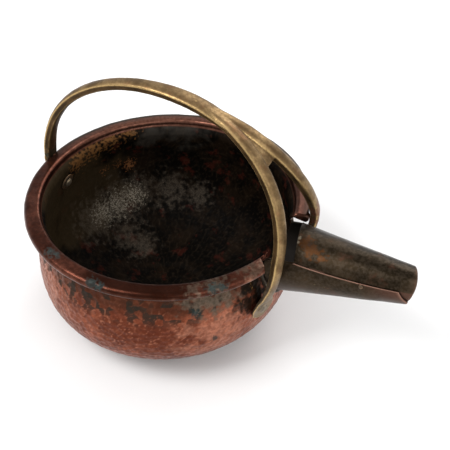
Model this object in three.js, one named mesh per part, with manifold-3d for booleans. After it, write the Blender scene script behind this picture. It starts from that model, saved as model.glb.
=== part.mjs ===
// A bee smoker: a hand-raised copper fire pot with a rolled rim, a spout of rolled copper sheet
// let into its wall, and a cast brass handle whose forked end straddles the spout.
// Millimetres, +Z up. The origin is on the ground below the centre of the mouth, and the
// spout points along +X.

import * as THREE from 'three';
import { mergeVertices } from 'three/addons/utils/BufferGeometryUtils.js';
import Module from 'manifold-3d';

const wasm = await Module();
wasm.setup();

// ---------------------------------------------------------------- driving dimensions

const GAP = 0.3; // clearance between two pieces that touch on the real object
const DEG = Math.PI / 180;

// bowl
const MOUTH_Z = 96; // top of the rim above the ground
const SHEET = 1.5; // copper sheet of the bowl
const BASE_R = 30; // flat that it stands on
const BELLY_R = 91.7;
const BELLY_Z = 57;
const BELLY_POWERS = [2.72, 2.94]; // superellipse powers of the rounded bottom, along R and Z
const NECK_R = 86.6;
const NECK_Z = MOUTH_Z - 11;
const NECK_POWER = 1.4; // how fast the neck swells into the belly
const BASE_LEAN = [-1.5, -7.9]; // the base's centre from the mouth's, as it was raised by hand
const BOWL_SIDES = 60;

// rolled rim, and the iron hoop inside it
const RIM_R = 99.4;
const RIM_W = 11.4;
const RIM_H = 6.6;
const RIM_FALL = 0.7; // the rim's top slopes down this much to its outside
const RIM_ENDS = [-20.8, 15.4]; // where the rim stops on each side of the spout, in degrees
const FRONT_SLANT = 3; // its -Y end runs this much further at the inner edge
const WALL_STAYS = 1.4; // thickness of the wall left standing between the rim's ends
const HOOP_W = 4.8;
const HOOP_H = 2.2;

// spout
const TIP_X = 176; // centre of the mouth of the spout
const TIP_DROP = 8.8; // and how far it is below the rim's top
const SPOUT_RISE = 7 * DEG;
const SPOUT_LENGTH = 98; // before its root is trimmed
const SPOUT_SHEET = 1.2;
const TIP_R = 13.3;
const TAPER = 0.14; // growth in radius for each millimetre towards the bowl
const LAP = 58 * DEG; // how far the sheet's two edges overlap
const LAP_STEP = 1.72; // how far the inner edge is inside the outer one
const SEAM_ROOT = 34 * DEG; // seam's height on the side, at the root and at the tip
const SEAM_TIP = 13 * DEG;
const CORNER = 3.6; // how far back the lap's trimmed corner starts
const CORNER_SLOPE = 8 * DEG; // turn of its trimmed edge in each millimetre along the spout
const MOUTH_SLANT = 29 * DEG; // how far the spout's mouth is off square
const MOUTH_FRONT = 45 * DEG; // the side that reaches furthest forward
const MOUTH_REACH = 8; // length that the slanted mouth is cut from
const ROOT_X = 98.7; // where the sheet's upper edge stops at the root
const ROOT_SKEW = 14 * DEG;
const ROOT_TOP_DROP = 7; // that upper edge is trimmed down to here below the rim's top
const ROOT_INSIDE = [81.5, -20]; // the rest is cut on a slant just inside the wall, through here
const ROOT_SLANT = 15 * DEG;
const SOLDER = 2.2; // leg of the solder fillet around the root
const SEAM_RIVET_BACK = 27; // seam rivet, from the tip
const SEAM_RIVET_R = 1.5;

// handle, from the plane of the mouth
const ARCH_X = -1; // centre of the arch, which is half an ellipse
const ARCH_A = 98;
const ARCH_H = 82.5;
const REAR_BOW = 0.7; // how far the rear limb stands off its arch to pass the rim
const BOW_HEIGHT = 25;
const FORK_AT = 38.6; // angle on the arch where the middle web ends, in degrees
const ARMS_FROM = 78; // and where the two arms start to part
const ARM_SPREAD = 30.6; // each arm's distance from the middle plane at the mouth
const ARM_HEADING = [0.6, 1.2, -21]; // of an arm's first stretch below the rim
const ARM_SPLAY = 4.6; // and how far it turns away from the spout
const PALM_PHI = 18.5; // palm of each arm, in degrees round the bowl
const PALM_Z = -41;
const PALM_R = 8.5;
const REAR_PALM_Z = -21;
const PALM_THICK = 3.4;

// rivets and their roves
const SHANK_R = 2.4;
const HEAD_R = 4;
const HEAD_H = 1.5;
const TAIL_R = 3.6;
const TAIL_H = 1.5;
const ROVE_R = 6.4;
const ROVE_THICK = 1.2;
const ROVE_GAP = 0.8; // a flat rove bridges the curve of the wall

// ---------------------------------------------------------------- solids

function toSolid(geometry) {
  const bare = new THREE.BufferGeometry();
  bare.setAttribute('position', geometry.getAttribute('position'));
  bare.setIndex(geometry.index);
  const merged = mergeVertices(bare, 1e-4);
  const index = merged.index.array;
  const corners = [];
  for (let i = 0; i < index.length; i += 3) {
    const [a, b, c] = [index[i], index[i + 1], index[i + 2]];
    if (a !== b && b !== c && c !== a) corners.push(a, b, c);
  }
  const points = new Float32Array(merged.getAttribute('position').array);
  if (signedVolume(points, corners) < 0) corners.reverse();
  const mesh = new wasm.Mesh({ numProp: 3, vertProperties: points, triVerts: new Uint32Array(corners) });
  return new wasm.Manifold(mesh);
}

function signedVolume(points, corners) {
  const at = (i) => new THREE.Vector3().fromArray(points, 3 * corners[i]);
  let sum = 0;
  for (let i = 0; i < corners.length; i += 3) {
    sum += at(i).dot(at(i + 1).cross(at(i + 2)));
  }
  return sum;
}

function toGeometry(solid) {
  const mesh = solid.getMesh();
  const geometry = new THREE.BufferGeometry();
  geometry.setAttribute('position', new THREE.BufferAttribute(mesh.vertProperties, 3));
  geometry.setIndex(new THREE.BufferAttribute(mesh.triVerts, 1));
  return geometry;
}

// Turns a profile of [radius, height] points about Z.
function turned(profile, sides) {
  const points = profile.map(([r, z]) => new THREE.Vector2(r, z));
  return new THREE.LatheGeometry(points, sides).rotateX(Math.PI / 2);
}

// Extrudes a closed outline over a unit length, then carries every point to place(u, v, s).
function swept(outline, steps, place) {
  const shape = new THREE.Shape(outline.map(([u, v]) => new THREE.Vector2(u, v)));
  const geometry = new THREE.ExtrudeGeometry(shape, { depth: 1, steps, bevelEnabled: false });
  const at = geometry.getAttribute('position');
  for (let i = 0; i < at.count; i++) {
    at.setXYZ(i, ...place(at.getX(i), at.getY(i), at.getZ(i)).toArray());
  }
  return toSolid(geometry);
}

const lerp = THREE.MathUtils.lerp;

// Value at s on a list of [station, value] pairs, eased between neighbours.
function eased(s, pairs) {
  const next = pairs.findIndex(([station]) => station >= s);
  if (next <= 0) return next === 0 ? pairs[0][1] : pairs.at(-1)[1];
  const [[s0, v0], [s1, v1]] = [pairs[next - 1], pairs[next]];
  return lerp(v0, v1, THREE.MathUtils.smoothstep(s, s0, s1));
}

// ---------------------------------------------------------------- bowl

// Radius of the bowl's outside at a height between the ground and the neck.
function bowlRadius(z) {
  if (z >= BELLY_Z) {
    const swell = Math.min((NECK_Z - z) / (NECK_Z - BELLY_Z), 1);
    return lerp(NECK_R, BELLY_R, 1 - (1 - Math.max(swell, 0)) ** NECK_POWER);
  }
  const drop = (BELLY_Z - z) / BELLY_Z;
  return BELLY_R * (1 - drop ** BELLY_POWERS[1]) ** (1 / BELLY_POWERS[0]);
}

// Outside of the sheet from the middle of the base up to the neck.
function wallPath() {
  const path = [[0, 0], [BASE_R, 0]];
  const steps = 8;
  for (let i = 1; i <= steps; i++) {
    const a = lerp(75 * DEG, 0, i / steps);
    const drop = Math.sin(a) ** (2 / BELLY_POWERS[1]);
    const z = BELLY_Z * (1 - drop);
    path.push([bowlRadius(z), z]);
  }
  for (const swell of [0.65, 0.3, 0]) {
    const z = lerp(NECK_Z, BELLY_Z, swell);
    path.push([bowlRadius(z), z]);
  }
  return path;
}

// A path through corners of [r, z, fillet radius], with an arc at each rounded corner.
function filleted(corners) {
  const path = [];
  corners.forEach(([r, z, radius], i) => {
    if (!radius) {
      path.push([r, z]);
      return;
    }
    const at = new THREE.Vector2(r, z);
    const before = new THREE.Vector2(corners[i - 1][0] - r, corners[i - 1][1] - z).normalize();
    const after = new THREE.Vector2(corners[i + 1][0] - r, corners[i + 1][1] - z).normalize();
    const half = Math.acos(before.dot(after)) / 2;
    const reach = radius / Math.tan(half);
    const start = at.clone().addScaledVector(before, reach);
    const end = at.clone().addScaledVector(after, reach);
    const middle = before.clone().add(after).normalize();
    const centre = at.clone().addScaledVector(middle, radius / Math.sin(half));
    for (const t of [0, 0.5, 1]) {
      const spoke = start.clone().lerp(end, t).sub(centre).setLength(radius);
      path.push(centre.clone().add(spoke).toArray());
    }
  });
  return path;
}

// The rim's hidden side: the sheet's outside, rolled outwards and down from the neck.
function rimPath() {
  const inner = RIM_R - RIM_W + SHEET;
  const outer = RIM_R - SHEET;
  const top = MOUTH_Z - SHEET;
  const bottom = MOUTH_Z - RIM_H + SHEET;
  return filleted([
    [NECK_R, NECK_Z, 0],
    [NECK_R + 0.6, NECK_Z + 3, 0],
    [inner, MOUTH_Z - 5, 2],
    [inner, top, 1.3],
    [outer, top - RIM_FALL, 1.8],
    [outer, bottom, 1],
    [inner - 0.6, bottom, 0],
  ]);
}

// The path moved sideways to its left.
function shifted(path, distance) {
  return path.map(([r, z], i) => {
    const before = path[Math.max(i - 1, 0)];
    const after = path[Math.min(i + 1, path.length - 1)];
    const along = new THREE.Vector2(after[0] - before[0], after[1] - before[1]).normalize();
    return [Math.max(r - along.y * distance, 0), z + along.x * distance];
  });
}

// Shears a solid sideways below the mouth, as the bowl leans.
function leaned(solid) {
  const [dx, dy] = BASE_LEAN.map((lean) => -lean / MOUTH_Z);
  return solid.transform([1, 0, 0, 0, 0, 1, 0, 0, dx, dy, 1, 0, dx * -MOUTH_Z, dy * -MOUTH_Z, 0, 1]);
}

// A filled bowl whose outside is moved out by grow, open above the rim's underside.
function bowlPlug(grow) {
  const path = shifted(wallPath(), -grow);
  const top = MOUTH_Z - RIM_H - GAP;
  path[0][0] = 0;
  return leaned(toSolid(turned([...path, [path.at(-1)[0], top], [0, top]], BOWL_SIDES)));
}

const polar = (r, angle) => new THREE.Vector2(r, 0).rotateAround(new THREE.Vector2(), angle * DEG);

// Space where the rim is cut away for the spout, outside the radius from.
function rimGap(from) {
  const reach = RIM_R * 1.3;
  const [start, end] = RIM_ENDS;
  const corner = polar(RIM_R, start);
  const inner = polar(RIM_R - RIM_W, start + FRONT_SLANT);
  const outline = [polar(from, 0), polar(from, start / 2)];
  outline.push(inner.clone().sub(corner).setLength(RIM_W + 4).add(corner));
  outline.push(corner.clone().sub(inner).setLength(30).add(corner));
  outline.push(polar(reach, end), polar(from, end), polar(from, end / 2));
  const wedge = new THREE.ExtrudeGeometry(new THREE.Shape(outline), { depth: 40, bevelEnabled: false });
  return toSolid(wedge.translate(0, 0, MOUTH_Z - RIM_H - 0.8));
}

// What stands between the rim's ends: the plain wall, without its roll.
function standingWall() {
  const outside = RIM_R - RIM_W + WALL_STAYS;
  return toSolid(turned([[0, 0], [outside, 0], [outside, 2 * MOUTH_Z], [0, 2 * MOUTH_Z]], BOWL_SIDES));
}

function bowl() {
  const path = [...wallPath(), ...rimPath().slice(1)];
  const inside = shifted(path, SHEET).reverse();
  inside[inside.length - 1][0] = 0;
  let solid = leaned(toSolid(turned([...path, ...inside], BOWL_SIDES)));
  solid = solid.subtract(rimGap(RIM_R / 2).subtract(standingWall()));
  const limbs = rearLimb(2 * GAP).add(arm(1, 2 * GAP));
  const rimZone = new THREE.BoxGeometry(3 * RIM_R, 80, 40).translate(0, 0, MOUTH_Z - RIM_H - 2 * GAP + 20);
  solid = solid.subtract(spoutCone(GAP)).subtract(limbs.intersect(toSolid(rimZone)));
  return rivetPlaces.reduce((left, place) => left.subtract(rivetSolid(place, GAP)), solid);
}

function rimHoop() {
  const middle = RIM_R - RIM_W / 2 - 0.5;
  const centre = MOUTH_Z - RIM_H / 2 - RIM_FALL / 3;
  const [r0, r1] = [middle - HOOP_W / 2, middle + HOOP_W / 2];
  const [z0, z1] = [centre - HOOP_H / 2, centre + HOOP_H / 2];
  const profile = [[r0, z0], [r1, z0], [r1, z1], [r0, z1], [r0, z0]];
  return leaned(toSolid(turned(profile, BOWL_SIDES))).subtract(rimGap(RIM_R / 2));
}

// Point on the bowl's outside, and the direction square to the wall there.
function wallPoint(phi, depth, out = 0) {
  const z = MOUTH_Z + depth;
  const step = 0.5;
  const slope = (bowlRadius(z + step) - bowlRadius(z - step)) / (2 * step);
  const lean = -depth / MOUTH_Z;
  const round = new THREE.Vector3(Math.cos(phi), Math.sin(phi), 0);
  const tilt = (BASE_LEAN[0] * round.x + BASE_LEAN[1] * round.y) / MOUTH_Z;
  const normal = round.clone().setZ(tilt - slope).normalize();
  const point = round.clone().multiplyScalar(bowlRadius(z));
  point.add(new THREE.Vector3(BASE_LEAN[0] * lean, BASE_LEAN[1] * lean, z));
  return { point: point.addScaledVector(normal, out), normal };
}

// ---------------------------------------------------------------- spout

const tip = new THREE.Vector3(TIP_X, 0, MOUTH_Z - TIP_DROP);
const spoutAxis = new THREE.Vector3(Math.cos(SPOUT_RISE), 0, Math.sin(SPOUT_RISE));
const spoutUp = new THREE.Vector3(-Math.sin(SPOUT_RISE), 0, Math.cos(SPOUT_RISE));
const spoutRadius = (back) => TIP_R + TAPER * back;

// Point at a distance back from the tip, a radius, and an angle up from the -Y side.
function onSpout(back, radius, angle) {
  const point = tip.clone().addScaledVector(spoutAxis, -back);
  point.addScaledVector(spoutUp, radius * Math.sin(angle));
  point.y -= radius * Math.cos(angle);
  return point;
}

function seamAngle(back) {
  return lerp(SEAM_TIP, SEAM_ROOT, (Math.max(back, 0) / 80) ** 1.4);
}

// The rolled sheet's section: from its outer edge round to the inner edge beneath it.
function rolledOutline() {
  const steps = 39;
  const turn = 2 * Math.PI + LAP;
  const outer = [];
  const inner = [];
  for (let i = 0; i <= steps; i++) {
    const angle = -turn * i / steps;
    const radius = TIP_R - LAP_STEP * i / steps;
    outer.push([radius * Math.cos(angle), radius * Math.sin(angle)]);
    inner.push([(radius - SPOUT_SHEET) * Math.cos(angle), (radius - SPOUT_SHEET) * Math.sin(angle)]);
  }
  return [...outer, ...inner.reverse()];
}

function circleOutline(sides) {
  const corner = (i) => 2 * Math.PI * i / sides;
  return Array.from({ length: sides }, (_, i) => [Math.cos(corner(i)), Math.sin(corner(i))]);
}

// The whole cone, filled, with its radius grown.
function spoutCone(grow) {
  return swept(circleOutline(40), 1, (u, v, s) => {
    const back = lerp(SPOUT_LENGTH, 0, s);
    return onSpout(back, spoutRadius(back) + grow, Math.atan2(v, u));
  });
}

// The outer edge's corner at the tip, which is cut off at a slant, down to between the two layers.
function lapCorner() {
  const steps = 10;
  const row = (v) => Array.from({ length: steps + 1 }, (_, i) => [i / steps, v]);
  const between = SPOUT_SHEET + (LAP_STEP * 2 * Math.PI / (2 * Math.PI + LAP) - SPOUT_SHEET) / 2;
  return swept([...row(0), ...row(1).reverse()], 8, (u, v, s) => {
    const back = lerp(CORNER, -MOUTH_REACH - 1, s);
    const slope = CORNER_SLOPE * (CORNER - back);
    const offset = lerp(slope, -12 * DEG, u);
    const sunk = LAP_STEP * Math.max(offset, 0) / (2 * Math.PI + LAP);
    return onSpout(back, spoutRadius(back) - lerp(between + sunk, -2, v), seamAngle(back) - offset);
  });
}

// Space in front of the slanted mouth.
function beyondMouth() {
  const size = 60;
  const space = new THREE.BoxGeometry(size, size, size).translate(size / 2, 0, 0);
  const front = spoutUp.clone().multiplyScalar(Math.sin(MOUTH_FRONT));
  front.y -= Math.cos(MOUTH_FRONT);
  const normal = spoutAxis.clone().multiplyScalar(Math.cos(MOUTH_SLANT));
  normal.addScaledVector(front, -Math.sin(MOUTH_SLANT));
  space.applyQuaternion(new THREE.Quaternion().setFromUnitVectors(new THREE.Vector3(1, 0, 0), normal));
  return toSolid(space.translate(tip.x, tip.y, tip.z));
}

// Spaces that trim the root: over its upper edge, on a skew, and inside the bowl, on a slant.
function rootTrims() {
  const size = 80;
  const over = new THREE.BoxGeometry(size, size, size).translate(-size / 2, 0, size / 2);
  over.rotateZ(ROOT_SKEW).translate(ROOT_X, 0, MOUTH_Z - ROOT_TOP_DROP);
  const inside = new THREE.BoxGeometry(size, size, 2 * size).translate(-size / 2, 0, 0);
  inside.rotateY(ROOT_SLANT).translate(ROOT_INSIDE[0], 0, MOUTH_Z + ROOT_INSIDE[1]);
  return [toSolid(over), toSolid(inside)];
}

function spout() {
  const rolled = swept(rolledOutline(), 8, (u, v, s) => {
    const back = lerp(SPOUT_LENGTH, -MOUTH_REACH, s);
    const radius = Math.hypot(u, v) - TIP_R + spoutRadius(back);
    return onSpout(back, radius, Math.atan2(v, u) + seamAngle(back));
  });
  const cuts = [...rootTrims(), lapCorner(), beyondMouth(), seamRivetSolid(0.25)];
  return cuts.reduce((left, cut) => left.subtract(cut), rolled);
}

function spoutSolder() {
  const band = bowlPlug(GAP + SOLDER).subtract(bowlPlug(GAP));
  const ring = spoutCone(GAP + SOLDER).subtract(spoutCone(GAP));
  const below = new THREE.BoxGeometry(60, 80, 60).translate(RIM_R, 0, MOUTH_Z - ROOT_TOP_DROP - 34);
  return band.intersect(ring).intersect(toSolid(below));
}

function seamRivetSolid(grow) {
  const head = SEAM_RIVET_R + grow;
  const shank = 0.8 + grow;
  const deep = -SPOUT_SHEET - LAP_STEP - 0.9 - grow;
  const profile = [[0, deep], [1.2 + grow, deep], [1.2 + grow, deep + 0.5 + 2 * grow],
    [shank, deep + 0.5 + 2 * grow], [shank, 0.2 - grow], [head, 0.2 - grow],
    [head * 0.7, 0.75 + grow], [0, 0.9 + grow]];
  const angle = seamAngle(SEAM_RIVET_BACK) - 5.5 * DEG;
  const at = onSpout(SEAM_RIVET_BACK, spoutRadius(SEAM_RIVET_BACK), angle);
  const out = at.clone().sub(onSpout(SEAM_RIVET_BACK, 0, 0)).normalize();
  return placed(turned(profile, 10), at, out);
}

// ---------------------------------------------------------------- handle

// Section of the bar, from -1 to 1 each way: flat below, domed above.
function barOutline() {
  return circleOutline(12).map(([u, v]) => {
    const side = Math.sign(u) * Math.abs(u) ** 0.75;
    const face = v > 0 ? v ** 0.9 : -(Math.abs(v) ** 0.6);
    return [side, face];
  });
}

// A bar along a path, with its width and thickness by station, and its outer face turned out.
function limb(steps, path, outward, width, thick, grow = 0) {
  return swept(barOutline(), steps, (u, v, s) => {
    const at = path(s);
    const step = 1e-3;
    const along = path(Math.min(s + step, 1)).sub(path(Math.max(s - step, 0))).normalize();
    const out = outward(at);
    out.addScaledVector(along, -out.dot(along)).normalize();
    const side = along.clone().cross(out);
    at.addScaledVector(side, u * (eased(s, width) + grow) / 2);
    return at.addScaledVector(out, v * (eased(s, thick) + grow) / 2);
  });
}

function archPoint(angle) {
  const height = ARCH_H * Math.sin(angle * DEG);
  const bow = angle > 90 ? REAR_BOW * Math.max(1 - height / BOW_HEIGHT, 0) ** 2 : 0;
  return new THREE.Vector3(ARCH_X + ARCH_A * Math.cos(angle * DEG) - bow, 0, MOUTH_Z + height);
}

const fromArch = (at) => new THREE.Vector3(at.x - ARCH_X, at.y, Math.max(at.z - MOUTH_Z, 0));

// The bend below the mouth that brings a limb in to the wall, ending past its palm. Its last
// bend is over the wall at a depth, standing off it.
function footCurve(start, heading, phi, bend, off, end) {
  const seat = GAP + PALM_THICK / 2;
  const turn = wallPoint(phi, bend, seat + off).point;
  const last = wallPoint(phi, end, seat).point;
  return new THREE.CubicBezierCurve3(start, start.clone().add(heading), turn, last);
}

// The rear limb: from its palm, up past the rim and over the top to the web of the fork.
function rearLimb(grow = 0) {
  const heading = new THREE.Vector3(-4, 0, -11);
  const foot = footCurve(archPoint(180), heading, Math.PI, REAR_PALM_Z + 13, 0, REAR_PALM_Z - PALM_R);
  const share = 0.24; // of the steps, for the part below the mouth
  const path = (s) => s < share ? foot.getPoint(1 - s / share)
    : archPoint(lerp(180, FORK_AT, (s - share) / (1 - share)));
  const width = [[0, 8], [0.03, 13], [0.06, 15], [0.1, 13.5], [0.17, 12], [0.26, 11.8], [0.36, 9.6],
    [0.6, 9.6], [0.8, 13.5], [0.9, 14.5], [1, 12.8]];
  const thick = [[0, 2.6], [0.1, PALM_THICK], [0.17, 5.2], [0.3, 6.4], [0.6, 7], [0.82, 6.6],
    [0.9, 4.6], [1, 3.8]];
  return limb(36, path, fromArch, width, thick, grow);
}

// One of the two arms: from the top of the arch, down beside the spout to its palm.
function arm(side, grow = 0) {
  const spread = (angle) => ARM_SPREAD * Math.max(1 - angle / ARMS_FROM, 0) ** 1.6;
  const onArm = (angle) => archPoint(angle).setY(side * spread(angle));
  const heading = new THREE.Vector3(ARM_HEADING[0], ARM_HEADING[1] + side * ARM_SPLAY, ARM_HEADING[2]);
  const foot = footCurve(onArm(0), heading, side * PALM_PHI * DEG, PALM_Z + 10, 3.5, PALM_Z - PALM_R);
  const share = 0.6; // of the steps, for the part above the mouth
  const path = (s) => s < share ? onArm(lerp(74, 0, s / share))
    : foot.getPoint((s - share) / (1 - share));
  const width = [[0, 8], [0.2, 10], [0.42, 9.6], [0.6, 8.2], [0.76, 8.4], [0.87, 13], [0.93, 2 * PALM_R],
    [0.97, 14.5], [1, 9]];
  const thick = [[0, 6], [0.2, 7.6], [0.6, 7.2], [0.76, 5.4], [0.88, PALM_THICK], [1, 2.6]];
  return limb(24, path, fromArch, width, thick, grow);
}

function handle() {
  let solid = rearLimb().add(arm(-1)).add(arm(1));
  solid = solid.subtract(bowlPlug(GAP)).subtract(spoutCone(SOLDER + 2 * GAP));
  return rivetPlaces.reduce((left, place) => left.subtract(rivetSolid(place, GAP)), solid);
}

// ---------------------------------------------------------------- rivets

const rivetPlaces = [
  { name: 'rear', ...wallPoint(Math.PI, REAR_PALM_Z) },
  { name: 'front', ...wallPoint(-PALM_PHI * DEG, PALM_Z) },
  { name: 'back', ...wallPoint(PALM_PHI * DEG, PALM_Z) },
];

// Stands a turned shape at a point with its own Z along a direction.
function placed(geometry, at, direction) {
  const turn = new THREE.Quaternion().setFromUnitVectors(new THREE.Vector3(0, 0, 1), direction);
  return toSolid(geometry.applyQuaternion(turn).translate(...at.toArray()));
}

// Rivet through the palm, the wall and the rove, with a domed head and a peened tail.
function rivetSolid({ point, normal }, grow = 0) {
  const seat = PALM_THICK + 2 * GAP - grow;
  const tail = -SHEET - ROVE_GAP - ROVE_THICK - GAP + grow;
  const dome = HEAD_H + 2 * grow;
  const profile = [
    [0, tail - TAIL_H - 2 * grow],
    [(TAIL_R + grow) * 0.7, tail - TAIL_H - 2 * grow],
    [TAIL_R + grow, tail],
    [SHANK_R + grow, tail],
    [SHANK_R + grow, seat],
    [HEAD_R + grow, seat],
    [(HEAD_R + grow) * 0.8, seat + dome * 0.6],
    [(HEAD_R + grow) * 0.4, seat + dome * 0.95],
    [0, seat + dome],
  ];
  return placed(turned(profile, 16), point, normal);
}

// Washer that the rivet's tail is peened over, inside the bowl.
function rove({ point, normal }) {
  const z1 = -SHEET - ROVE_GAP;
  const z0 = z1 - ROVE_THICK;
  const hole = SHANK_R + GAP;
  const profile = [[hole, z0], [ROVE_R * 0.92, z0], [ROVE_R, z1], [hole, z1], [hole, z0]];
  return placed(turned(profile, 20), point, normal);
}

// ---------------------------------------------------------------- assembly

const finishes = {
  bowl: { color: 0x8f4a38, roughness: 0.5, metalness: 1 },
  iron: { color: 0x4a3a32, roughness: 0.8, metalness: 0.6 },
  brass: { color: 0xa58348, roughness: 0.4, metalness: 1 },
  spout: { color: 0x3a2c25, roughness: 0.55, metalness: 1 },
  solder: { color: 0x6b6862, roughness: 0.5, metalness: 1 },
  copper: { color: 0x6d4030, roughness: 0.5, metalness: 1 },
};

const object = new THREE.Group();
object.name = 'bee_smoker';

function addPiece(name, solid, finish) {
  const mesh = new THREE.Mesh(toGeometry(solid), new THREE.MeshStandardMaterial(finishes[finish]));
  mesh.name = name;
  object.add(mesh);
}

addPiece('bowl', bowl(), 'bowl');
addPiece('rim_hoop', rimHoop(), 'iron');
addPiece('handle', handle(), 'brass');
addPiece('spout', spout(), 'spout');
addPiece('spout_solder', spoutSolder(), 'solder');
addPiece('seam_rivet', seamRivetSolid(0), 'copper');
for (const place of rivetPlaces) {
  addPiece(`${place.name}_rivet`, rivetSolid(place), 'brass');
  addPiece(`${place.name}_rove`, rove(place), 'copper');
}

export default object;
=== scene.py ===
"""Looks for a copper bee smoker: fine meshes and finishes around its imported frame.

Sizes are in millimetres in the shape code, and are brought to metres when a mesh is made.
"""

import math

import bmesh
import bpy
import numpy as np
from bpy.props import FloatProperty, FloatVectorProperty, IntProperty, PointerProperty
from mathutils import Matrix, Vector, kdtree, noise


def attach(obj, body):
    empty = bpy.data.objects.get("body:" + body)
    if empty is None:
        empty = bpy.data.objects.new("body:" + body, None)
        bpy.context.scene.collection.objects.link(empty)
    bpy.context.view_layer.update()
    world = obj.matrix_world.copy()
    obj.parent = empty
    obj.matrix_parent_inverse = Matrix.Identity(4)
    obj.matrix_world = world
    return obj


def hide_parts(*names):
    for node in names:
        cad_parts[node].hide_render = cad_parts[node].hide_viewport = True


bl_info = {
    "name": "Copper bee smoker",
    "version": (1, 0, 0),
    "blender": (4, 5, 0),
    "location": "3D View > Sidebar > Smoker",
    "description": "Hammered copper smoking pot with a rolled sheet spout and a forked brass handle",
    "category": "Add Mesh",
}

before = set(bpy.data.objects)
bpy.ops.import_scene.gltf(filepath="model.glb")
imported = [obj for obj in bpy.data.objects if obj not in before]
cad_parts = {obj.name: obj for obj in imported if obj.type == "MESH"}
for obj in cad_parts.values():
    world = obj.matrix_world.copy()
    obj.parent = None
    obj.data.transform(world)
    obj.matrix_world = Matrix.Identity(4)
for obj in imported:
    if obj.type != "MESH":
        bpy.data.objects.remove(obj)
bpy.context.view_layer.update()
MM = 0.001
DEG = math.pi / 180

# ---------------------------------------------------------------- the frame's own dimensions

MOUTH_Z = 96.0
SHEET = 1.5
BASE_R = 30.0
BELLY_R, BELLY_Z = 91.7, 57.0
BELLY_POWERS = (2.72, 2.94)
NECK_R, NECK_Z, NECK_POWER = 86.6, MOUTH_Z - 11, 1.4
BASE_LEAN = np.array([-1.5, -7.9])

RIM_R, RIM_W, RIM_H, RIM_FALL = 99.4, 11.4, 6.6, 0.7
RIM_ENDS = (-20.8, 12.4)
FRONT_SLANT = 3.0
RIM_END_SPAN, RIM_END_POWER = 1.7 * DEG, 2.6
PATH_STEP, OUTSIDE_STEP, INSIDE_STEP = 0.15, 0.9, 1.2
RIM_END_STEP = 0.14
MARK_REACH, RIDGE_WIDTH, MARK_LIMIT = 0.62, 0.2, 0.5
SPOUT_STEPS, SPOUT_ROWS = 250, 110

TIP = np.array([176.0, 0.0, MOUTH_Z - 8.8])
SPOUT_RISE = 7 * DEG
SPOUT_AXIS = np.array([math.cos(SPOUT_RISE), 0.0, math.sin(SPOUT_RISE)])
SPOUT_UP = np.array([-math.sin(SPOUT_RISE), 0.0, math.cos(SPOUT_RISE)])
SPOUT_LENGTH, TIP_R, TAPER = 98.0, 13.3, 0.14
LAP, LAP_STEP = 58 * DEG, 1.72
SEAM_ROOT, SEAM_TIP = 34 * DEG, 13 * DEG
CORNER, CORNER_SLOPE = 3.6, 8 * DEG
MOUTH_SLANT, MOUTH_FRONT = 29 * DEG, 45 * DEG
ROOT_X, ROOT_SKEW, ROOT_TOP_DROP = 98.7, 14 * DEG, 7.0
ROOT_INSIDE, ROOT_SLANT = (81.5, -20.0), 15 * DEG
SEAM_RIVET_BACK = 27.0

ARCH_X, ARCH_A, ARCH_H = -1.0, 98.0, 82.5
REAR_BOW, BOW_HEIGHT = 0.7, 25.0
FORK_AT, ARMS_FROM, ARM_SPREAD = 38.6, 78.0, 30.6
PALM_PHI, PALM_Z, PALM_R, REAR_PALM_Z = 18.5 * DEG, -41.0, 8.5, -21.0
PALM_THICK = 3.4
ARM_TOP = 74
HOOP_HALF_WIDTH, HOOP_HALF_HEIGHT, HOOP_END_GAP = 2.2, 0.95, 3.5
ROOT_SEARCH_FROM, ROOT_SEARCH_STEPS = 40, 460
FILLET_ARC, FILLET_STEPS = (-200, 20), 170
SEAM_LINE, MOUTH_LINE = 0.32, 0.8

# ---------------------------------------------------------------- where the camera stands, in metres

CAMERA_PLACE = (0.24556, -0.39701, 0.47567)
CAMERA_RIGHT = (0.8893, 0.45729, 0.00628)
CAMERA_UP = (-0.30646, 0.58566, 0.75039)
CAMERA_BACK = (0.33947, -0.66925, 0.66096)
SENSOR_WIDTH = 36.0


# ---------------------------------------------------------------- what a user may change


class SmokerBowl(bpy.types.PropertyGroup):
    blow_outside: FloatProperty(
        name="Hammer mark outside", description="Spacing of the planishing marks on the outside",
        default=4.3 * MM, unit="LENGTH")
    blow_inside: FloatProperty(
        name="Hammer mark inside", description="Spacing of the raising marks on the inside",
        default=5.2 * MM, unit="LENGTH")
    blow_depth: FloatProperty(
        name="Hammer depth", description="Depth of a mark below the ridges around it",
        default=0.42 * MM, unit="LENGTH")
    columns: IntProperty(
        name="Columns", description="Divisions of the mesh around the bowl", default=600, min=120)


class SmokerSpout(bpy.types.PropertyGroup):
    sheet: FloatProperty(
        name="Sheet", description="Thickness of the rolled sheet", default=1.2 * MM, unit="LENGTH")
    dents: FloatProperty(
        name="Dents", description="Depth of the unevenness left by rolling", default=0.22 * MM,
        unit="LENGTH")
    solder_leg: FloatProperty(
        name="Solder leg", description="Size of the fillet around the root", default=2.0 * MM,
        unit="LENGTH")


class SmokerHandle(bpy.types.PropertyGroup):
    voxel: FloatProperty(
        name="Voxel", description="Grain of the cast handle's mesh", default=0.5 * MM, unit="LENGTH")
    casting: FloatProperty(
        name="Casting", description="Depth of the uneven cast surface", default=0.16 * MM,
        unit="LENGTH")


class SmokerFinish(bpy.types.PropertyGroup):
    copper: FloatVectorProperty(
        name="Copper", description="Worn copper on the outside", subtype="COLOR",
        default=(0.34, 0.098, 0.05))
    soot: FloatVectorProperty(
        name="Soot", description="Burnt inside of the bowl", subtype="COLOR",
        default=(0.0018, 0.0012, 0.0007))
    brass: FloatVectorProperty(
        name="Brass", description="Handle where hands wear it", subtype="COLOR",
        default=(0.6, 0.41, 0.18))
    verdigris: FloatVectorProperty(
        name="Verdigris", description="Blue-green copper salts", subtype="COLOR",
        default=(0.036, 0.062, 0.06))


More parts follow.
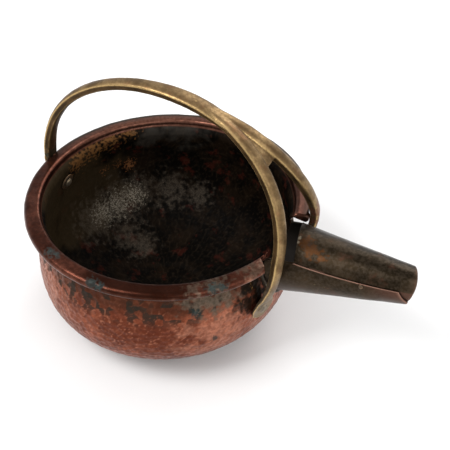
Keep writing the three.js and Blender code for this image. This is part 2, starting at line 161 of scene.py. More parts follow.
class SmokerStage(bpy.types.PropertyGroup):
    floor: FloatVectorProperty(
        name="Floor", description="Colour of the floor", subtype="COLOR", default=(0.93, 0.93, 0.93))
    key: FloatProperty(name="Key", description="Power of the main light", default=15.0, unit="POWER")
    lens: FloatProperty(name="Lens", description="Focal length in millimetres", default=69.146)


SETTINGS = {
    "smoker_bowl": SmokerBowl,
    "smoker_spout": SmokerSpout,
    "smoker_handle": SmokerHandle,
    "smoker_finish": SmokerFinish,
    "smoker_stage": SmokerStage,
}

# ---------------------------------------------------------------- mesh helpers


def eased(s, pairs):
    """Value at s on a list of (station, value) pairs, eased between neighbours."""
    stations, values = zip(*pairs)
    at = np.clip(np.searchsorted(stations, s), 1, len(pairs) - 1)
    before, after = np.take(stations, at - 1), np.take(stations, at)
    t = np.clip((s - before) / (after - before), 0, 1)
    t = t * t * (3 - 2 * t)
    return np.take(values, at - 1) * (1 - t) + np.take(values, at) * t


def resampled(path, step):
    """The path with points an even step apart."""
    path = np.asarray(path, float)
    run = np.concatenate([[0], np.cumsum(np.linalg.norm(np.diff(path, axis=0), axis=1))])
    count = max(int(round(run[-1] / step)), 2) + 1
    at = np.linspace(0, run[-1], count)
    return np.stack([np.interp(at, run, path[:, k]) for k in range(path.shape[1])], 1)


def headings(path):
    """The direction of the path at each of its points."""
    along = np.gradient(path, axis=0)
    return along / np.linalg.norm(along, axis=1, keepdims=True)


def ring_angles(count):
    return np.arange(count) * 2 * math.pi / count


def end_caps(points, sides):
    """Faces that close both ends of a grid of points that is this many sides around."""
    return [list(range(sides)), [len(points) - 1 - k for k in range(sides)]]


def shifted(path, distance):
    """A path of (r, z) moved sideways to its left."""
    along = headings(path)
    return path + distance * np.stack([-along[:, 1], along[:, 0]], 1)


def grid_quads(rows, columns, wrap=True):
    """Quads between the points of a grid, whose columns close on themselves if wrap is set."""
    r, c = np.meshgrid(np.arange(rows - 1), np.arange(columns if wrap else columns - 1), indexing="ij")
    n = (c + 1) % columns
    return np.stack([r * columns + c, r * columns + n, (r + 1) * columns + n, (r + 1) * columns + c],
                    -1).reshape(-1, 4)


def mesh_piece(name, points, faces, smooth=True):
    """An object from points in millimetres and faces, with its normals turned outwards."""
    mesh = bpy.data.meshes.new(name)
    mesh.from_pydata((np.asarray(points) * MM).tolist(), [], [list(map(int, f)) for f in faces])
    work = bmesh.new()
    work.from_mesh(mesh)
    bmesh.ops.remove_doubles(work, verts=work.verts, dist=0.004 * MM)
    bmesh.ops.dissolve_degenerate(work, edges=work.edges, dist=0.004 * MM)
    bmesh.ops.recalc_face_normals(work, faces=work.faces)
    work.to_mesh(mesh)
    work.free()
    mesh.polygons.foreach_set("use_smooth", [smooth] * len(mesh.polygons))
    piece = bpy.data.objects.new(name, mesh)
    bpy.context.scene.collection.objects.link(piece)
    return piece


def vectors_of(items, name):
    flat = np.zeros(len(items) * 3, np.float32)
    items.foreach_get(name, flat)
    return flat.reshape(-1, 3).astype(float)


def points_of(piece):
    """The piece's points, in millimetres."""
    return vectors_of(piece.data.vertices, "co") / MM


def normals_of(piece):
    return vectors_of(piece.data.vertex_normals, "vector")


def set_points(piece, points):
    piece.data.vertices.foreach_set("co", (points * MM).astype(np.float32).ravel())
    piece.data.update()


def set_mask(piece, name, values):
    """Stores a number for each point, for the materials to read."""
    layer = piece.data.attributes.get(name) or piece.data.attributes.new(name, "FLOAT", "POINT")
    layer.data.foreach_set("value", np.asarray(values, np.float32))


def apply_modifiers(piece):
    """Makes the piece's mesh what its modifiers give."""
    graph = bpy.context.evaluated_depsgraph_get()
    made = bpy.data.meshes.new_from_object(piece.evaluated_get(graph))
    piece.modifiers.clear()
    piece.data = made
    return piece


def cut(piece, cutter, operation="DIFFERENCE"):
    """Cuts the cutter out of the piece, or joins it, and removes the cutter."""
    change = piece.modifiers.new("cut", "BOOLEAN")
    change.operation = operation
    change.object = cutter
    change.solver = "MANIFOLD"
    before = len(piece.data.vertices)
    apply_modifiers(piece)
    if len(piece.data.vertices) in (0, before):
        raise RuntimeError(f"{cutter.name} did not cut {piece.name}")
    bpy.data.objects.remove(cutter)


def finish_piece(piece, slot, material, *nodes):
    """Gives the piece its material and its place on the frame."""
    piece.data.materials.clear()
    piece.data.materials.append(material)
    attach(piece, "root")
    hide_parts(*nodes)
    return piece


def search_tree(places):
    """A tree that finds the nearest of the places."""
    tree = kdtree.KDTree(len(places))
    for i, place in enumerate(places):
        tree.insert(place, i)
    tree.balance()
    return tree


def rough(points, scale, seed, octaves=3):
    """Smooth noise from -1 to 1 at each point, with lumps about scale wide."""
    shift = Vector((seed * 13.7, seed * 7.1, seed * 3.3))
    return np.array([noise.fractal(Vector(p) / scale + shift, 0.9, 2.0, octaves) for p in points])


def tube(path, radii, sides=16):
    """Points and faces of a closed tube along a path of points, with a radius at each."""
    path = np.asarray(path, float)
    along = headings(path)
    side = np.cross(along, [0.0, 0.0, 1.0])
    side /= np.linalg.norm(side, axis=1, keepdims=True)
    up = np.cross(side, along)
    turn = ring_angles(sides)
    ring = side[:, None] * np.cos(turn)[None, :, None] + up[:, None] * np.sin(turn)[None, :, None]
    points = (path[:, None] + ring * np.asarray(radii)[:, None, None]).reshape(-1, 3)
    return points, grid_quads(len(path), sides).tolist() + end_caps(points, sides)


# ---------------------------------------------------------------- shapes that pieces share


def bowl_radius(z):
    """Radius of the bowl's outside at a height up to the neck."""
    z = np.asarray(z, float)
    swell = np.clip((NECK_Z - z) / (NECK_Z - BELLY_Z), 0, 1)
    upper = NECK_R + (BELLY_R - NECK_R) * (1 - (1 - swell) ** NECK_POWER)
    drop = np.clip((BELLY_Z - z) / BELLY_Z, 0, 1)
    lower = BELLY_R * (1 - drop ** BELLY_POWERS[1]) ** (1 / BELLY_POWERS[0])
    return np.where(z >= BELLY_Z, upper, lower)


def leaned(points):
    """Points moved sideways below the mouth, as the bowl leans."""
    points = np.array(points, float)
    points[..., :2] += BASE_LEAN * (1 - points[..., 2:3] / MOUTH_Z)
    return points


def upright(points):
    """The opposite of leaned."""
    points = np.array(points, float)
    points[..., :2] -= BASE_LEAN * (1 - points[..., 2:3] / MOUTH_Z)
    return points


def wall_point(phi, depth, out=0.0):
    """Point on the bowl's outside, and the direction square to the wall there."""
    z, step = MOUTH_Z + depth, 0.5
    slope = float(bowl_radius(z + step) - bowl_radius(z - step)) / (2 * step)
    round_ = np.array([math.cos(phi), math.sin(phi), 0.0])
    tilt = (BASE_LEAN @ round_[:2]) / MOUTH_Z
    normal = round_ + np.array([0.0, 0.0, tilt - slope])
    normal /= np.linalg.norm(normal)
    point = round_ * float(bowl_radius(z)) + np.array([*(BASE_LEAN * (-depth / MOUTH_Z)), z])
    return point + normal * out, normal


def spout_radius(back):
    return TIP_R + TAPER * np.asarray(back, float)


def on_spout(back, radius, angle):
    """Points at distances back from the tip, radii, and angles up from the -Y side."""
    back, radius, angle = np.broadcast_arrays(*(np.asarray(v, float) for v in (back, radius, angle)))
    points = TIP - SPOUT_AXIS * back[..., None] + SPOUT_UP * (radius * np.sin(angle))[..., None]
    points[..., 1] -= radius * np.cos(angle)
    return points


def seam_angle(back):
    share = np.maximum(np.asarray(back, float), 0) / 80
    return SEAM_TIP + (SEAM_ROOT - SEAM_TIP) * share ** 1.4


# ---------------------------------------------------------------- bowl


def wall_path():
    """Outside of the sheet, from the middle of the base up to the neck."""
    path = [(0.0, 0.0), (BASE_R, 0.0)]
    for a in np.linspace(75 * DEG, 0, 60):
        z = BELLY_Z * (1 - math.sin(a) ** (2 / BELLY_POWERS[1]))
        path.append((float(bowl_radius(z)), z))
    for z in np.linspace(BELLY_Z, NECK_Z, 20)[1:]:
        path.append((float(bowl_radius(z)), z))
    return path


def filleted(corners):
    """A path through corners of (r, z, fillet radius), with an arc at each rounded corner."""
    path = []
    for i, (r, z, radius) in enumerate(corners):
        at = np.array([r, z])
        if not radius:
            path.append(at)
            continue
        before, after = (np.array(corners[k][:2]) - at for k in (i - 1, i + 1))
        before /= np.linalg.norm(before)
        after /= np.linalg.norm(after)
        half = math.acos(before @ after) / 2
        start, end = (at + v * radius / math.tan(half) for v in (before, after))
        middle = (before + after) / np.linalg.norm(before + after)
        centre = at + middle * radius / math.sin(half)
        for t in np.linspace(0, 1, 9):
            spoke = start * (1 - t) + end * t - centre
            path.append(centre + spoke * radius / np.linalg.norm(spoke))
    return path


def roll_path():
    """The rim's hidden side: the sheet's outside, rolled outwards and down from the neck."""
    inner, outer = RIM_R - RIM_W + SHEET, RIM_R - SHEET
    top, bottom = MOUTH_Z - SHEET, MOUTH_Z - RIM_H + SHEET
    return filleted([
        (NECK_R, NECK_Z, 0), (NECK_R + 0.6, NECK_Z + 3, 0), (inner, MOUTH_Z - 5, 2),
        (inner, top, 1.3), (outer, top - RIM_FALL, 1.9), (outer, bottom, 1.2), (inner - 0.6, bottom, 0),
    ])


def column_angles(count):
    """Angles around the bowl, closer together where the rim ends."""
    even = np.linspace(-180, 180, count, endpoint=False)
    ends = [np.arange(low, low + 6.5, RIM_END_STEP) for low in (RIM_ENDS[0] - 2.5, RIM_ENDS[1] - 3.5)]
    keep = even[(even < ends[0][0]) | (even > ends[0][-1])]
    keep = keep[(keep < ends[1][0]) | (keep > ends[1][-1])]
    return np.sort(np.concatenate([keep, *ends])) * DEG


def rim_presence(phi, radius):
    """How much of the rim is left: 1 along it, falling to 0 over its rounded ends."""
    inward = np.clip((RIM_R - radius) / RIM_W, 0, 1)
    start = RIM_ENDS[0] * DEG + FRONT_SLANT * DEG * inward
    end = RIM_ENDS[1] * DEG
    past = np.minimum(phi - (start - RIM_END_SPAN), (end + RIM_END_SPAN) - phi) / RIM_END_SPAN
    return (1 - np.clip(past, 0, 1) ** RIM_END_POWER) ** (1 / RIM_END_POWER)


def blow_tree(path, spacing, seed):
    """Places of hammer blows in staggered rings over a turned path, as a search tree."""
    rng = np.random.default_rng(seed)
    places = []
    for k, (r, z) in enumerate(resampled(path, spacing)):
        count = max(int(round(2 * math.pi * r / spacing)), 1)
        turn = (np.arange(count) + 0.5 * (k % 2) + rng.uniform(-0.4, 0.4, count)) * 2 * math.pi / count
        drift = rng.uniform(-0.36, 0.36, (count, 2)) * spacing
        places += zip((r + drift[:, 0] * 0.3) * np.cos(turn), (r + drift[:, 0] * 0.3) * np.sin(turn),
                      z + drift[:, 1])
    return search_tree(places), rng.uniform(0, 1, len(places))


def hammered(points, tree, tones, spacing):
    """Depth share of the hammer marks at the points, a ridge share, and the tone of each mark."""
    depth, ridge, tone = (np.zeros(len(points)) for _ in range(3))
    reach = MARK_REACH * spacing
    for i, p in enumerate(points):
        near = tree.find_n(p, 3)
        values = [(d / reach) ** 2 + 0.3 * tones[k] for _, k, d in near]
        best = min(range(len(near)), key=values.__getitem__)
        depth[i] = max(1 - values[best] * 0.8, 0)
        second = min(v for j, v in enumerate(values) if j != best)
        ridge[i] = math.exp(-((second - values[best]) / RIDGE_WIDTH) ** 2)
        tone[i] = tones[near[best][1]]
    return depth, ridge, tone


def bowl_points(columns):
    """Grid of the bowl's points, along the sheet and around the bowl."""
    outside = np.array(wall_path() + roll_path()[1:])
    outside = resampled(outside, PATH_STEP)
    visible = shifted(outside, SHEET)
    visible[:, 0] = np.maximum(visible[:, 0], 0)
    outside, visible = resampled(outside, OUTSIDE_STEP), resampled(visible, INSIDE_STEP)
    loop = np.concatenate([outside[1:], visible[::-1][:-1]])
    inner = np.concatenate([np.zeros(len(outside) - 1), np.ones(len(visible) - 1)])
    phi = column_angles(columns)
    r, z = (np.repeat(loop[:, k:k + 1], len(phi), 1) for k in (0, 1))
    stay_r = np.where(inner[:, None] > 0, RIM_R - RIM_W + 0.35, RIM_R - RIM_W + 1.35)
    stay_z = np.where(inner[:, None] > 0, MOUTH_Z - RIM_H + 1.2, MOUTH_Z - RIM_H + 0.7)
    rolled = (r > RIM_R - RIM_W + 0.4) & (z > MOUTH_Z - RIM_H - 1)
    kept = np.where(rolled, rim_presence(phi[None, :], r), 1.0)
    r, z = stay_r + (r - stay_r) * kept, stay_z + (z - stay_z) * kept
    return np.stack([r * np.cos(phi), r * np.sin(phi), z], -1)


def bowl_mesh(settings):
    """The bowl as one closed sheet: hammered wall, rolled rim, and the ends of its rim."""
    points = bowl_points(settings.columns)
    rows, columns = points.shape[:2]
    flat = points.reshape(-1, 3)
    faces = grid_quads(rows, columns).tolist()
    poles = [[0.0, 0.0, 0.0], [0.0, 0.0, SHEET]]
    first, last = len(flat), len(flat) + 1
    faces += [[first, (c + 1) % columns, c] for c in range(columns)]
    start = (rows - 1) * columns
    faces += [[last, start + c, start + (c + 1) % columns] for c in range(columns)]
    return mesh_piece("hammered_bowl", leaned(np.concatenate([flat, poles])), faces)


def bowl_sides(points):
    """Whether each point is on the inside and on the rolled rim, and its radius and height."""
    straight = upright(points)
    r = np.hypot(straight[:, 0], straight[:, 1])
    z = straight[:, 2]
    inside = np.where(z < NECK_Z, (bowl_radius(z) - r) > SHEET * 0.55, r < RIM_R - RIM_W + 0.6)
    inside |= (z < 3) & (z > SHEET * 0.5) & (r < BASE_R + 6)
    rolled = (r > RIM_R - RIM_W - 0.4) & (z > MOUTH_Z - RIM_H - 0.5)
    return inside.astype(float), rolled.astype(float), r, z


def dress_bowl(piece, settings):
    """Presses the hammer marks into the sheet and stores the masks that its material reads."""
    points = points_of(piece)
    normals = normals_of(piece)
    inside, rolled, r, z = bowl_sides(points)
    path = np.array(wall_path())
    marks = [np.zeros(len(points)) for _ in range(3)]
    straight = upright(points)
    for side, spacing in ((0, settings.blow_outside / MM), (1, settings.blow_inside / MM)):
        chosen = np.flatnonzero(inside == side)
        tree, tones = blow_tree(path, spacing, 11 + side)
        for store, found in zip(marks, hammered(straight[chosen], tree, tones, spacing)):
            store[chosen] = found
    depth, ridge, tone = marks
    strength = np.where(rolled > 0, 0.0, 1.0) * np.clip((z - 0.5) / 3, 0, 1)
    strength = np.where(inside > 0, 0.75, strength) * (1 - rolled)
    push = depth * strength * settings.blow_depth / MM
    push += rolled * 0.16 * (1 + rough(points, 9, 5, 2))
    held = np.clip(push, 0, MARK_LIMIT)
    set_points(piece, points - normals * held[:, None])
    set_mask(piece, "inside", inside * (1 - rolled))
    set_mask(piece, "rolled", rolled)
    set_mask(piece, "ridge", ridge * (1 - rolled))
    set_mask(piece, "tone", tone)


class SMOKER_OT_bowl(bpy.types.Operator):
    """Make the hammered bowl with its rolled rim, cut open for the spout"""

    bl_idname = "smoker.bowl"
    bl_label = "Bowl"

    def execute(self, context):
        settings = context.scene.smoker_bowl
        piece = bowl_mesh(settings)
        back = np.array([SPOUT_LENGTH, 0.0])
        sides, gap = 96, 0.3
        turn = ring_angles(sides)
        cone = on_spout(back[:, None], spout_radius(back)[:, None] + gap, turn[None, :]).reshape(-1, 3)
        faces = grid_quads(2, sides).tolist() + end_caps(cone, sides)
        cut(piece, mesh_piece("spout_hole", cone, faces))
        for name, (points, sides) in (("rear_notch", rear_limb(0.5)), ("arm_notch", fork_arm(1, 0.6))):
            height = points[..., 2].mean(1)
            rows = np.flatnonzero((height > MOUTH_Z - RIM_H - 0.4) & (height < MOUTH_Z + 14))
            cut(piece, limb_mesh(name, points[rows], sides))
        dress_bowl(piece, settings)
        finish_piece(piece, "bowl_copper", bowl_material(context.scene.smoker_finish), "bowl")
        return {"FINISHED"}


class SMOKER_OT_rim_hoop(bpy.types.Operator):
    """Make the iron strip that the rim is rolled over"""

    bl_idname = "smoker.rim_hoop"
    bl_label = "Rim hoop"

    def execute(self, context):
        middle_r, middle_z = RIM_R - RIM_W / 2 - 0.5, MOUTH_Z - RIM_H / 2 - RIM_FALL / 3
        sides = 16
        turn = ring_angles(sides)
        cos, sin = np.cos(turn), np.sin(turn)
        across = HOOP_HALF_WIDTH * np.sign(cos) * np.abs(cos) ** 0.5
        high = HOOP_HALF_HEIGHT * np.sign(sin) * np.abs(sin) ** 0.5
        phi = np.linspace(RIM_ENDS[1] + HOOP_END_GAP, 360 + RIM_ENDS[0] - HOOP_END_GAP, 240) * DEG
        r = middle_r + across[None, :] + 0.1 * np.sin(23 * phi)[:, None]
        points = np.stack([r * np.cos(phi)[:, None], r * np.sin(phi)[:, None],
                           middle_z + high[None, :] + 0 * r], -1).reshape(-1, 3)
        faces = grid_quads(len(phi), sides).tolist() + end_caps(points, sides)
        piece = mesh_piece("rim_hoop_bar", leaned(points), faces)
        finish_piece(piece, "hoop_iron", iron_material(), "rim_hoop")
        return {"FINISHED"}


# ---------------------------------------------------------------- spout


def root_back(offset, drop):
    """How far back one line of the rolled sheet runs before the root's trim cuts it."""
    back = np.linspace(ROOT_SEARCH_FROM, SPOUT_LENGTH, ROOT_SEARCH_STEPS)
    points = on_spout(back, spout_radius(back) + drop, seam_angle(back) + offset)
    x, y, z = points.T
    over = np.minimum(-((x - ROOT_X) * math.cos(ROOT_SKEW) + y * math.sin(ROOT_SKEW)),
                      z - (MOUTH_Z - ROOT_TOP_DROP))
    inside = -((x - ROOT_INSIDE[0]) * math.cos(ROOT_SLANT)
               - (z - MOUTH_Z - ROOT_INSIDE[1]) * math.sin(ROOT_SLANT))
    past = np.flatnonzero(np.maximum(over, inside) > 0)
    return back[past[0]] if len(past) else SPOUT_LENGTH


def mouth_back(offset, drop):
    """How far back the slanted mouth, or the trimmed corner of the lap, cuts each line of the sheet."""
    slope = math.tan(MOUTH_SLANT) * np.cos(SEAM_TIP + offset - MOUTH_FRONT)
    mouth = 0.25 - (TIP_R + drop) * slope / (1 + TAPER * slope)
    return np.maximum(mouth, CORNER + offset / CORNER_SLOPE)


def spout_mesh(settings):
    """The rolled sheet, lapped on itself, with its trimmed corner at the tip."""
    sheet = settings.sheet / MM
    steps, rows = SPOUT_STEPS, SPOUT_ROWS
    turn = 2 * math.pi + LAP
    share = np.linspace(0, 1, steps)
    offset, drop = -turn * share, -LAP_STEP * share
    front = mouth_back(offset, drop)
    root = np.array([root_back(o, d) for o, d in zip(offset, drop)])
    root = np.convolve(np.pad(root, 2, mode="edge"), np.ones(5) / 5, "valid")
    t = np.linspace(0, 1, rows)[:, None]
    back = front + (root - front) * t
    angle = seam_angle(back) + offset
    rolled = [back.ravel() * 0.5, np.cos(angle.ravel()) * 14, np.sin(angle.ravel()) * 14]
    uneven = rough(np.stack(rolled, 1), 11, 4, 3).reshape(back.shape) * settings.dents / MM
    uneven -= settings.dents / MM
    edge = 0.12 * np.exp(-((np.arange(steps) / 1.5) ** 2))
    outer = on_spout(back, spout_radius(back) + drop + uneven - edge, angle)
    inner = on_spout(back, spout_radius(back) + drop + uneven - sheet + edge, angle)
    half = on_spout(back[:, :1], (spout_radius(back) + drop + uneven)[:, :1] - sheet / 2,
                    angle[:, :1] + 0.006)
    points = np.concatenate([outer, inner[:, ::-1], half], 1)
    width = points.shape[1]
    faces = grid_quads(rows, width).tolist()
    for row in (0, (rows - 1) * width):
        for i in range(steps - 1):
            faces.append([row + i, row + i + 1, row + 2 * steps - 2 - i, row + 2 * steps - 1 - i])
        faces.append([row, row + 2 * steps - 1, row + 2 * steps])
    return mesh_piece("rolled_spout", points.reshape(-1, 3), faces)


def dress_spout(piece):
    """Stores how near each point is to the sheet's cut edges, and whether it is inside."""
    points = points_of(piece)
    local = points - TIP
    back = -(local @ SPOUT_AXIS)
    up, side = local @ SPOUT_UP, -points[:, 1]
    radius, angle = np.hypot(up, side), np.arctan2(up, side)
    gap = (seam_angle(back) - angle + math.pi) % (2 * math.pi) - math.pi
    depth = spout_radius(back) - radius
    seam = np.exp(-((gap * radius / SEAM_LINE) ** 2)) * (depth < 1.6) * (gap > -0.05)
    upper = (depth < 1.35) & (gap > -0.05) & (gap < 60 * DEG)
    mouth = mouth_back(np.where(upper, -gap, -1.2 * math.pi), -depth)
    slanted = math.tan(MOUTH_SLANT) * np.cos(angle - MOUTH_FRONT)
    plain = -(TIP_R - depth) * slanted / (1 + TAPER * slanted)
    tip = np.exp(-np.abs(back - np.where(upper, mouth, plain)) / MOUTH_LINE)
    set_mask(piece, "cut_edge", np.clip(np.maximum(seam, tip * np.where(upper, 0.9, 0.35)), 0, 1))
    spokes = SPOUT_UP * up[:, None] + np.array([0.0, -1.0, 0.0]) * side[:, None]
    facing = (normals_of(piece) * spokes).sum(1) / np.maximum(radius, 1)
    set_mask(piece, "inside", (facing < -0.3).astype(float))
    set_mask(piece, "lap", np.clip(1 - np.abs(gap) / (LAP * 1.2), 0, 1) * (gap > 0))
    set_mask(piece, "back", back / 90)


class SMOKER_OT_spout(bpy.types.Operator):
    """Make the spout from one rolled sheet"""

    bl_idname = "smoker.spout"
    bl_label = "Spout"

    def execute(self, context):
        piece = spout_mesh(context.scene.smoker_spout)
        dress_spout(piece)
        finish_piece(piece, "spout_copper", spout_material(context.scene.smoker_finish), "spout")
        return {"FINISHED"}


class SMOKER_OT_solder(bpy.types.Operator):
    """Make the fillet of solder around the spout's root"""

    bl_idname = "smoker.solder"
    bl_label = "Solder"

    def execute(self, context):
        leg = context.scene.smoker_spout.solder_leg / MM
        line, radii = [], []
        for angle in np.linspace(*FILLET_ARC, FILLET_STEPS) * DEG:
            back = np.linspace(70, SPOUT_LENGTH, 300)
            points = on_spout(back, spout_radius(back), angle)
            straight = upright(points)
            wall = bowl_radius(straight[:, 2]) - np.hypot(straight[:, 0], straight[:, 1])
            hit = np.flatnonzero(wall > 0)
            if not len(hit) or points[hit[0], 2] > MOUTH_Z - RIM_H - 3:
                continue
            at = points[hit[0]]
            outward = at - on_spout(back[hit[0]], 0.0, 0.0)
            outward /= np.linalg.norm(outward)
            line.append(at + outward * 0.25 * leg + SPOUT_AXIS * 0.25 * leg)
            radii.append(leg * 0.62)
        radii = np.array(radii) * (1 + 0.3 * rough(line, 6, 8, 2))
        ends = np.minimum(np.arange(len(line)), np.arange(len(line))[::-1]) / 8
        radii *= np.clip(ends, 0.25, 1) ** 0.5
        piece = mesh_piece("solder_fillet", *tube(line, radii, 18))
        finish_piece(piece, "solder", solder_material(), "spout_solder")
        return {"FINISHED"}


# ---------------------------------------------------------------- handle


def bar_outline():
    """Section of the cast bar: domed outside, an arris on each side, and slightly hollow flanks."""
    half = [(0.0, 1.0), (0.34, 0.97), (0.62, 0.86), (0.85, 0.66), (0.985, 0.40), (0.93, 0.10), (0.88, -0.20),
            (0.9, -0.5), (0.83, -0.78), (0.56, -0.94), (0.0, -1.0)]
    loop = np.array(half + [(-u, v) for u, v in half[-2:0:-1]])
    closed = np.concatenate([loop, loop[:1]])
    even = resampled(closed, 0.085)[:-1]
    return (np.roll(even, 1, 0) + 2 * even + np.roll(even, -1, 0)) / 4


def arch_point(angle):
    angle = np.asarray(angle, float)
    height = ARCH_H * np.sin(angle * DEG)
    bow = np.where(angle > 90, REAR_BOW * np.clip(1 - height / BOW_HEIGHT, 0, None) ** 2, 0)
    return np.stack([ARCH_X + ARCH_A * np.cos(angle * DEG) - bow, 0 * angle, MOUTH_Z + height], -1)


def foot_curve(start, heading, phi, bend, off, end, t):
    """The bend below the mouth that brings a limb in to the wall, ending past its palm."""
    seat = PALM_THICK / 2
    corners = [start, start + heading, wall_point(phi, bend, seat + off)[0], wall_point(phi, end, seat)[0]]
    weights = [(1 - t) ** 3, 3 * t * (1 - t) ** 2, 3 * t * t * (1 - t), t ** 3]
    return sum(w[:, None] * c for w, c in zip(weights, corners))


def limb(path, width, thick, sink=None, dish=None):
    """Points of a bar along a path, by station, with its outer face turned out of the arch."""
    s = np.linspace(0, 1, len(path))
    along = headings(path)
    out = path - [ARCH_X, 0, 0]
    out[:, 2] = np.maximum(out[:, 2] - MOUTH_Z, 0)
    out -= along * (out * along).sum(1, keepdims=True)
    out /= np.linalg.norm(out, axis=1, keepdims=True)
    side = np.cross(along, out)
    outline = bar_outline()
    if sink:
        path = path - out * eased(s, sink)[:, None]
    across, high = outline[:, 0], np.tile(outline[:, 1], (len(path), 1))
    if dish:
        hollow = np.clip(1 - (across / 0.8) ** 2, 0, 1) ** 0.6 * (outline[:, 1] > 0.5)
        high = high - eased(s, dish)[:, None] * hollow
    points = (path[:, None] + side[:, None] * across[None, :, None] * (eased(s, width) / 2)[:, None, None]
              + out[:, None] * (high * (eased(s, thick) / 2)[:, None])[:, :, None])
    return points, len(outline)


def limb_mesh(name, points, sides):
    rows = len(points)
    flat = points.reshape(-1, 3)
    return mesh_piece(name, flat, grid_quads(rows, sides).tolist() + end_caps(flat, sides))


def grown(pairs, grow):
    """Pairs of (station, size) with every size larger."""
    return [(station, size + grow) for station, size in pairs]


def rear_limb(grow=0.0):
    """The rear limb: from its palm, up past the rim and over the top to the web of the fork."""
    share, steps = 0.24, 260
    s = np.linspace(0, 1, steps)
    below, above = s[s < share], s[s >= share]
    heading = np.array([-4.0, 0.0, -11.0])
    foot = foot_curve(arch_point(180), heading, math.pi, REAR_PALM_Z + 13, 0, REAR_PALM_Z - PALM_R,
                      1 - below / share)
    arch = arch_point(180 + (FORK_AT - 180) * (above - share) / (1 - share))
    width = [(0, 8), (0.03, 13), (0.06, 15), (0.1, 13.5), (0.17, 12), (0.26, 11.8), (0.36, 9.8),
             (0.6, 9.8), (0.8, 13.2), (0.9, 14.0), (1, 12.4)]
    thick = [(0, 2.6), (0.1, PALM_THICK), (0.17, 5.2), (0.3, 6.4), (0.6, 7), (0.8, 6.8), (0.88, 5.0),
             (1, 3.6)]
    sink = [(0, 0), (0.78, 0), (0.9, 0.9), (1, 0.7)]
    return limb(np.concatenate([foot, arch]), grown(width, grow), grown(thick, grow), sink)


def fork_arm(side, grow=0.0):
    """One of the two arms: from the top of the arch, down beside the spout to its palm."""
    share, steps = 0.6, 220

    def on_arm(angle):
        at = arch_point(angle)
        at[..., 1] = side * ARM_SPREAD * np.clip(1 - np.asarray(angle, float) / ARMS_FROM, 0, None) ** 1.6
        return at

    s = np.linspace(0, 1, steps)
    above, below = s[s < share], s[s >= share]
    heading = np.array([0.6, 1.2 + side * 4.6, -21.0])
    foot = foot_curve(on_arm(0.0), heading, side * PALM_PHI, PALM_Z + 10, 3.5, PALM_Z - PALM_R,
                      (below - share) / (1 - share))
    width = [(0, 7), (0.2, 9.6), (0.42, 9.4), (0.6, 8.2), (0.76, 7.6), (0.84, 9.8), (0.885, 16), (0.935, 19),
             (0.975, 16), (1, 8)]
    thick = [(0, 6), (0.2, 7.4), (0.6, 7.2), (0.76, 6.2), (0.84, 4.6), (0.9, PALM_THICK), (1, 2.6)]
    dish = [(0, 0), (0.85, 0), (0.9, 0.62), (0.975, 0.62), (1, 0)]
    path = np.concatenate([on_arm(ARM_TOP - ARM_TOP * above / share), foot])
    return limb(path, grown(width, grow), grown(thick, grow), dish=dish)


def dress_handle(piece, limbs):
    """Stores which part of the bar's section each point is on: arris, flank or inner face."""
    outline = bar_outline()
    lines = np.concatenate([points.reshape(-1, 3) for points, _ in limbs])
    section = np.concatenate([np.tile(outline, (len(points), 1)) for points, _ in limbs])
    tree = search_tree(lines)
    u, v = section[[tree.find(p)[1] for p in points_of(piece)]].T
    u = np.abs(u)
    upper = np.exp(-((u - 0.97) ** 2 + (v - 0.42) ** 2) / 0.035)
    lower = np.exp(-((u - 0.84) ** 2 + (v + 0.76) ** 2) / 0.02)
    set_mask(piece, "arris", np.clip(upper + 0.8 * lower, 0, 1))
    set_mask(piece, "flank", np.clip((u - 0.78) / 0.1, 0, 1) * (v < 0.3) * (v > -0.7))
    set_mask(piece, "inner_face", np.clip((-v - 0.82) / 0.1, 0, 1))


class SMOKER_OT_handle(bpy.types.Operator):
    """Make the cast brass handle, whose limbs flow into each other at the fork"""

    bl_idname = "smoker.handle"
    bl_label = "Handle"

    def execute(self, context):
        settings = context.scene.smoker_handle
        limbs = [rear_limb(), fork_arm(-1), fork_arm(1)]
        piece = limb_mesh("cast_handle", *limbs[0])
        for points, sides in limbs[1:]:
            cut(piece, limb_mesh("arm", points, sides), "UNION")
        remesh = piece.modifiers.new("remesh", "REMESH")
        remesh.mode, remesh.voxel_size = "VOXEL", settings.voxel
        remesh.use_smooth_shade = True
        soften = piece.modifiers.new("soften", "SMOOTH")
        soften.factor, soften.iterations = 0.5, 3
        apply_modifiers(piece)
        points, normals = points_of(piece), normals_of(piece)
        lumps = 0.6 * rough(points, 7, 3, 2) + 0.4 * rough(points, 2.6, 6, 2)
        set_points(piece, points + normals * (lumps - 0.8)[:, None] * settings.casting / MM)
        piece.data.polygons.foreach_set("use_smooth", [True] * len(piece.data.polygons))
        dress_handle(piece, limbs)
        finish_piece(piece, "handle_brass", handle_material(context.scene.smoker_finish), "handle")
        return {"FINISHED"}


# ---------------------------------------------------------------- rivets

ROVE_THICK, ROVE_GAP, TAIL_GAP = 1.2, 0.8, 0.3

RIVET_PLACES = {
    "rear": wall_point(math.pi, REAR_PALM_Z),
    "front": wall_point(-PALM_PHI, PALM_Z),
    "back": wall_point(PALM_PHI, PALM_Z),
}


def on_wall(points, place):
    """Points stood on the wall at a place, with their Z square to it."""
    point, normal = place
    turn_to = np.array(Vector((0, 0, 1)).rotation_difference(Vector(normal)).to_matrix())
    return points @ turn_to.T + point


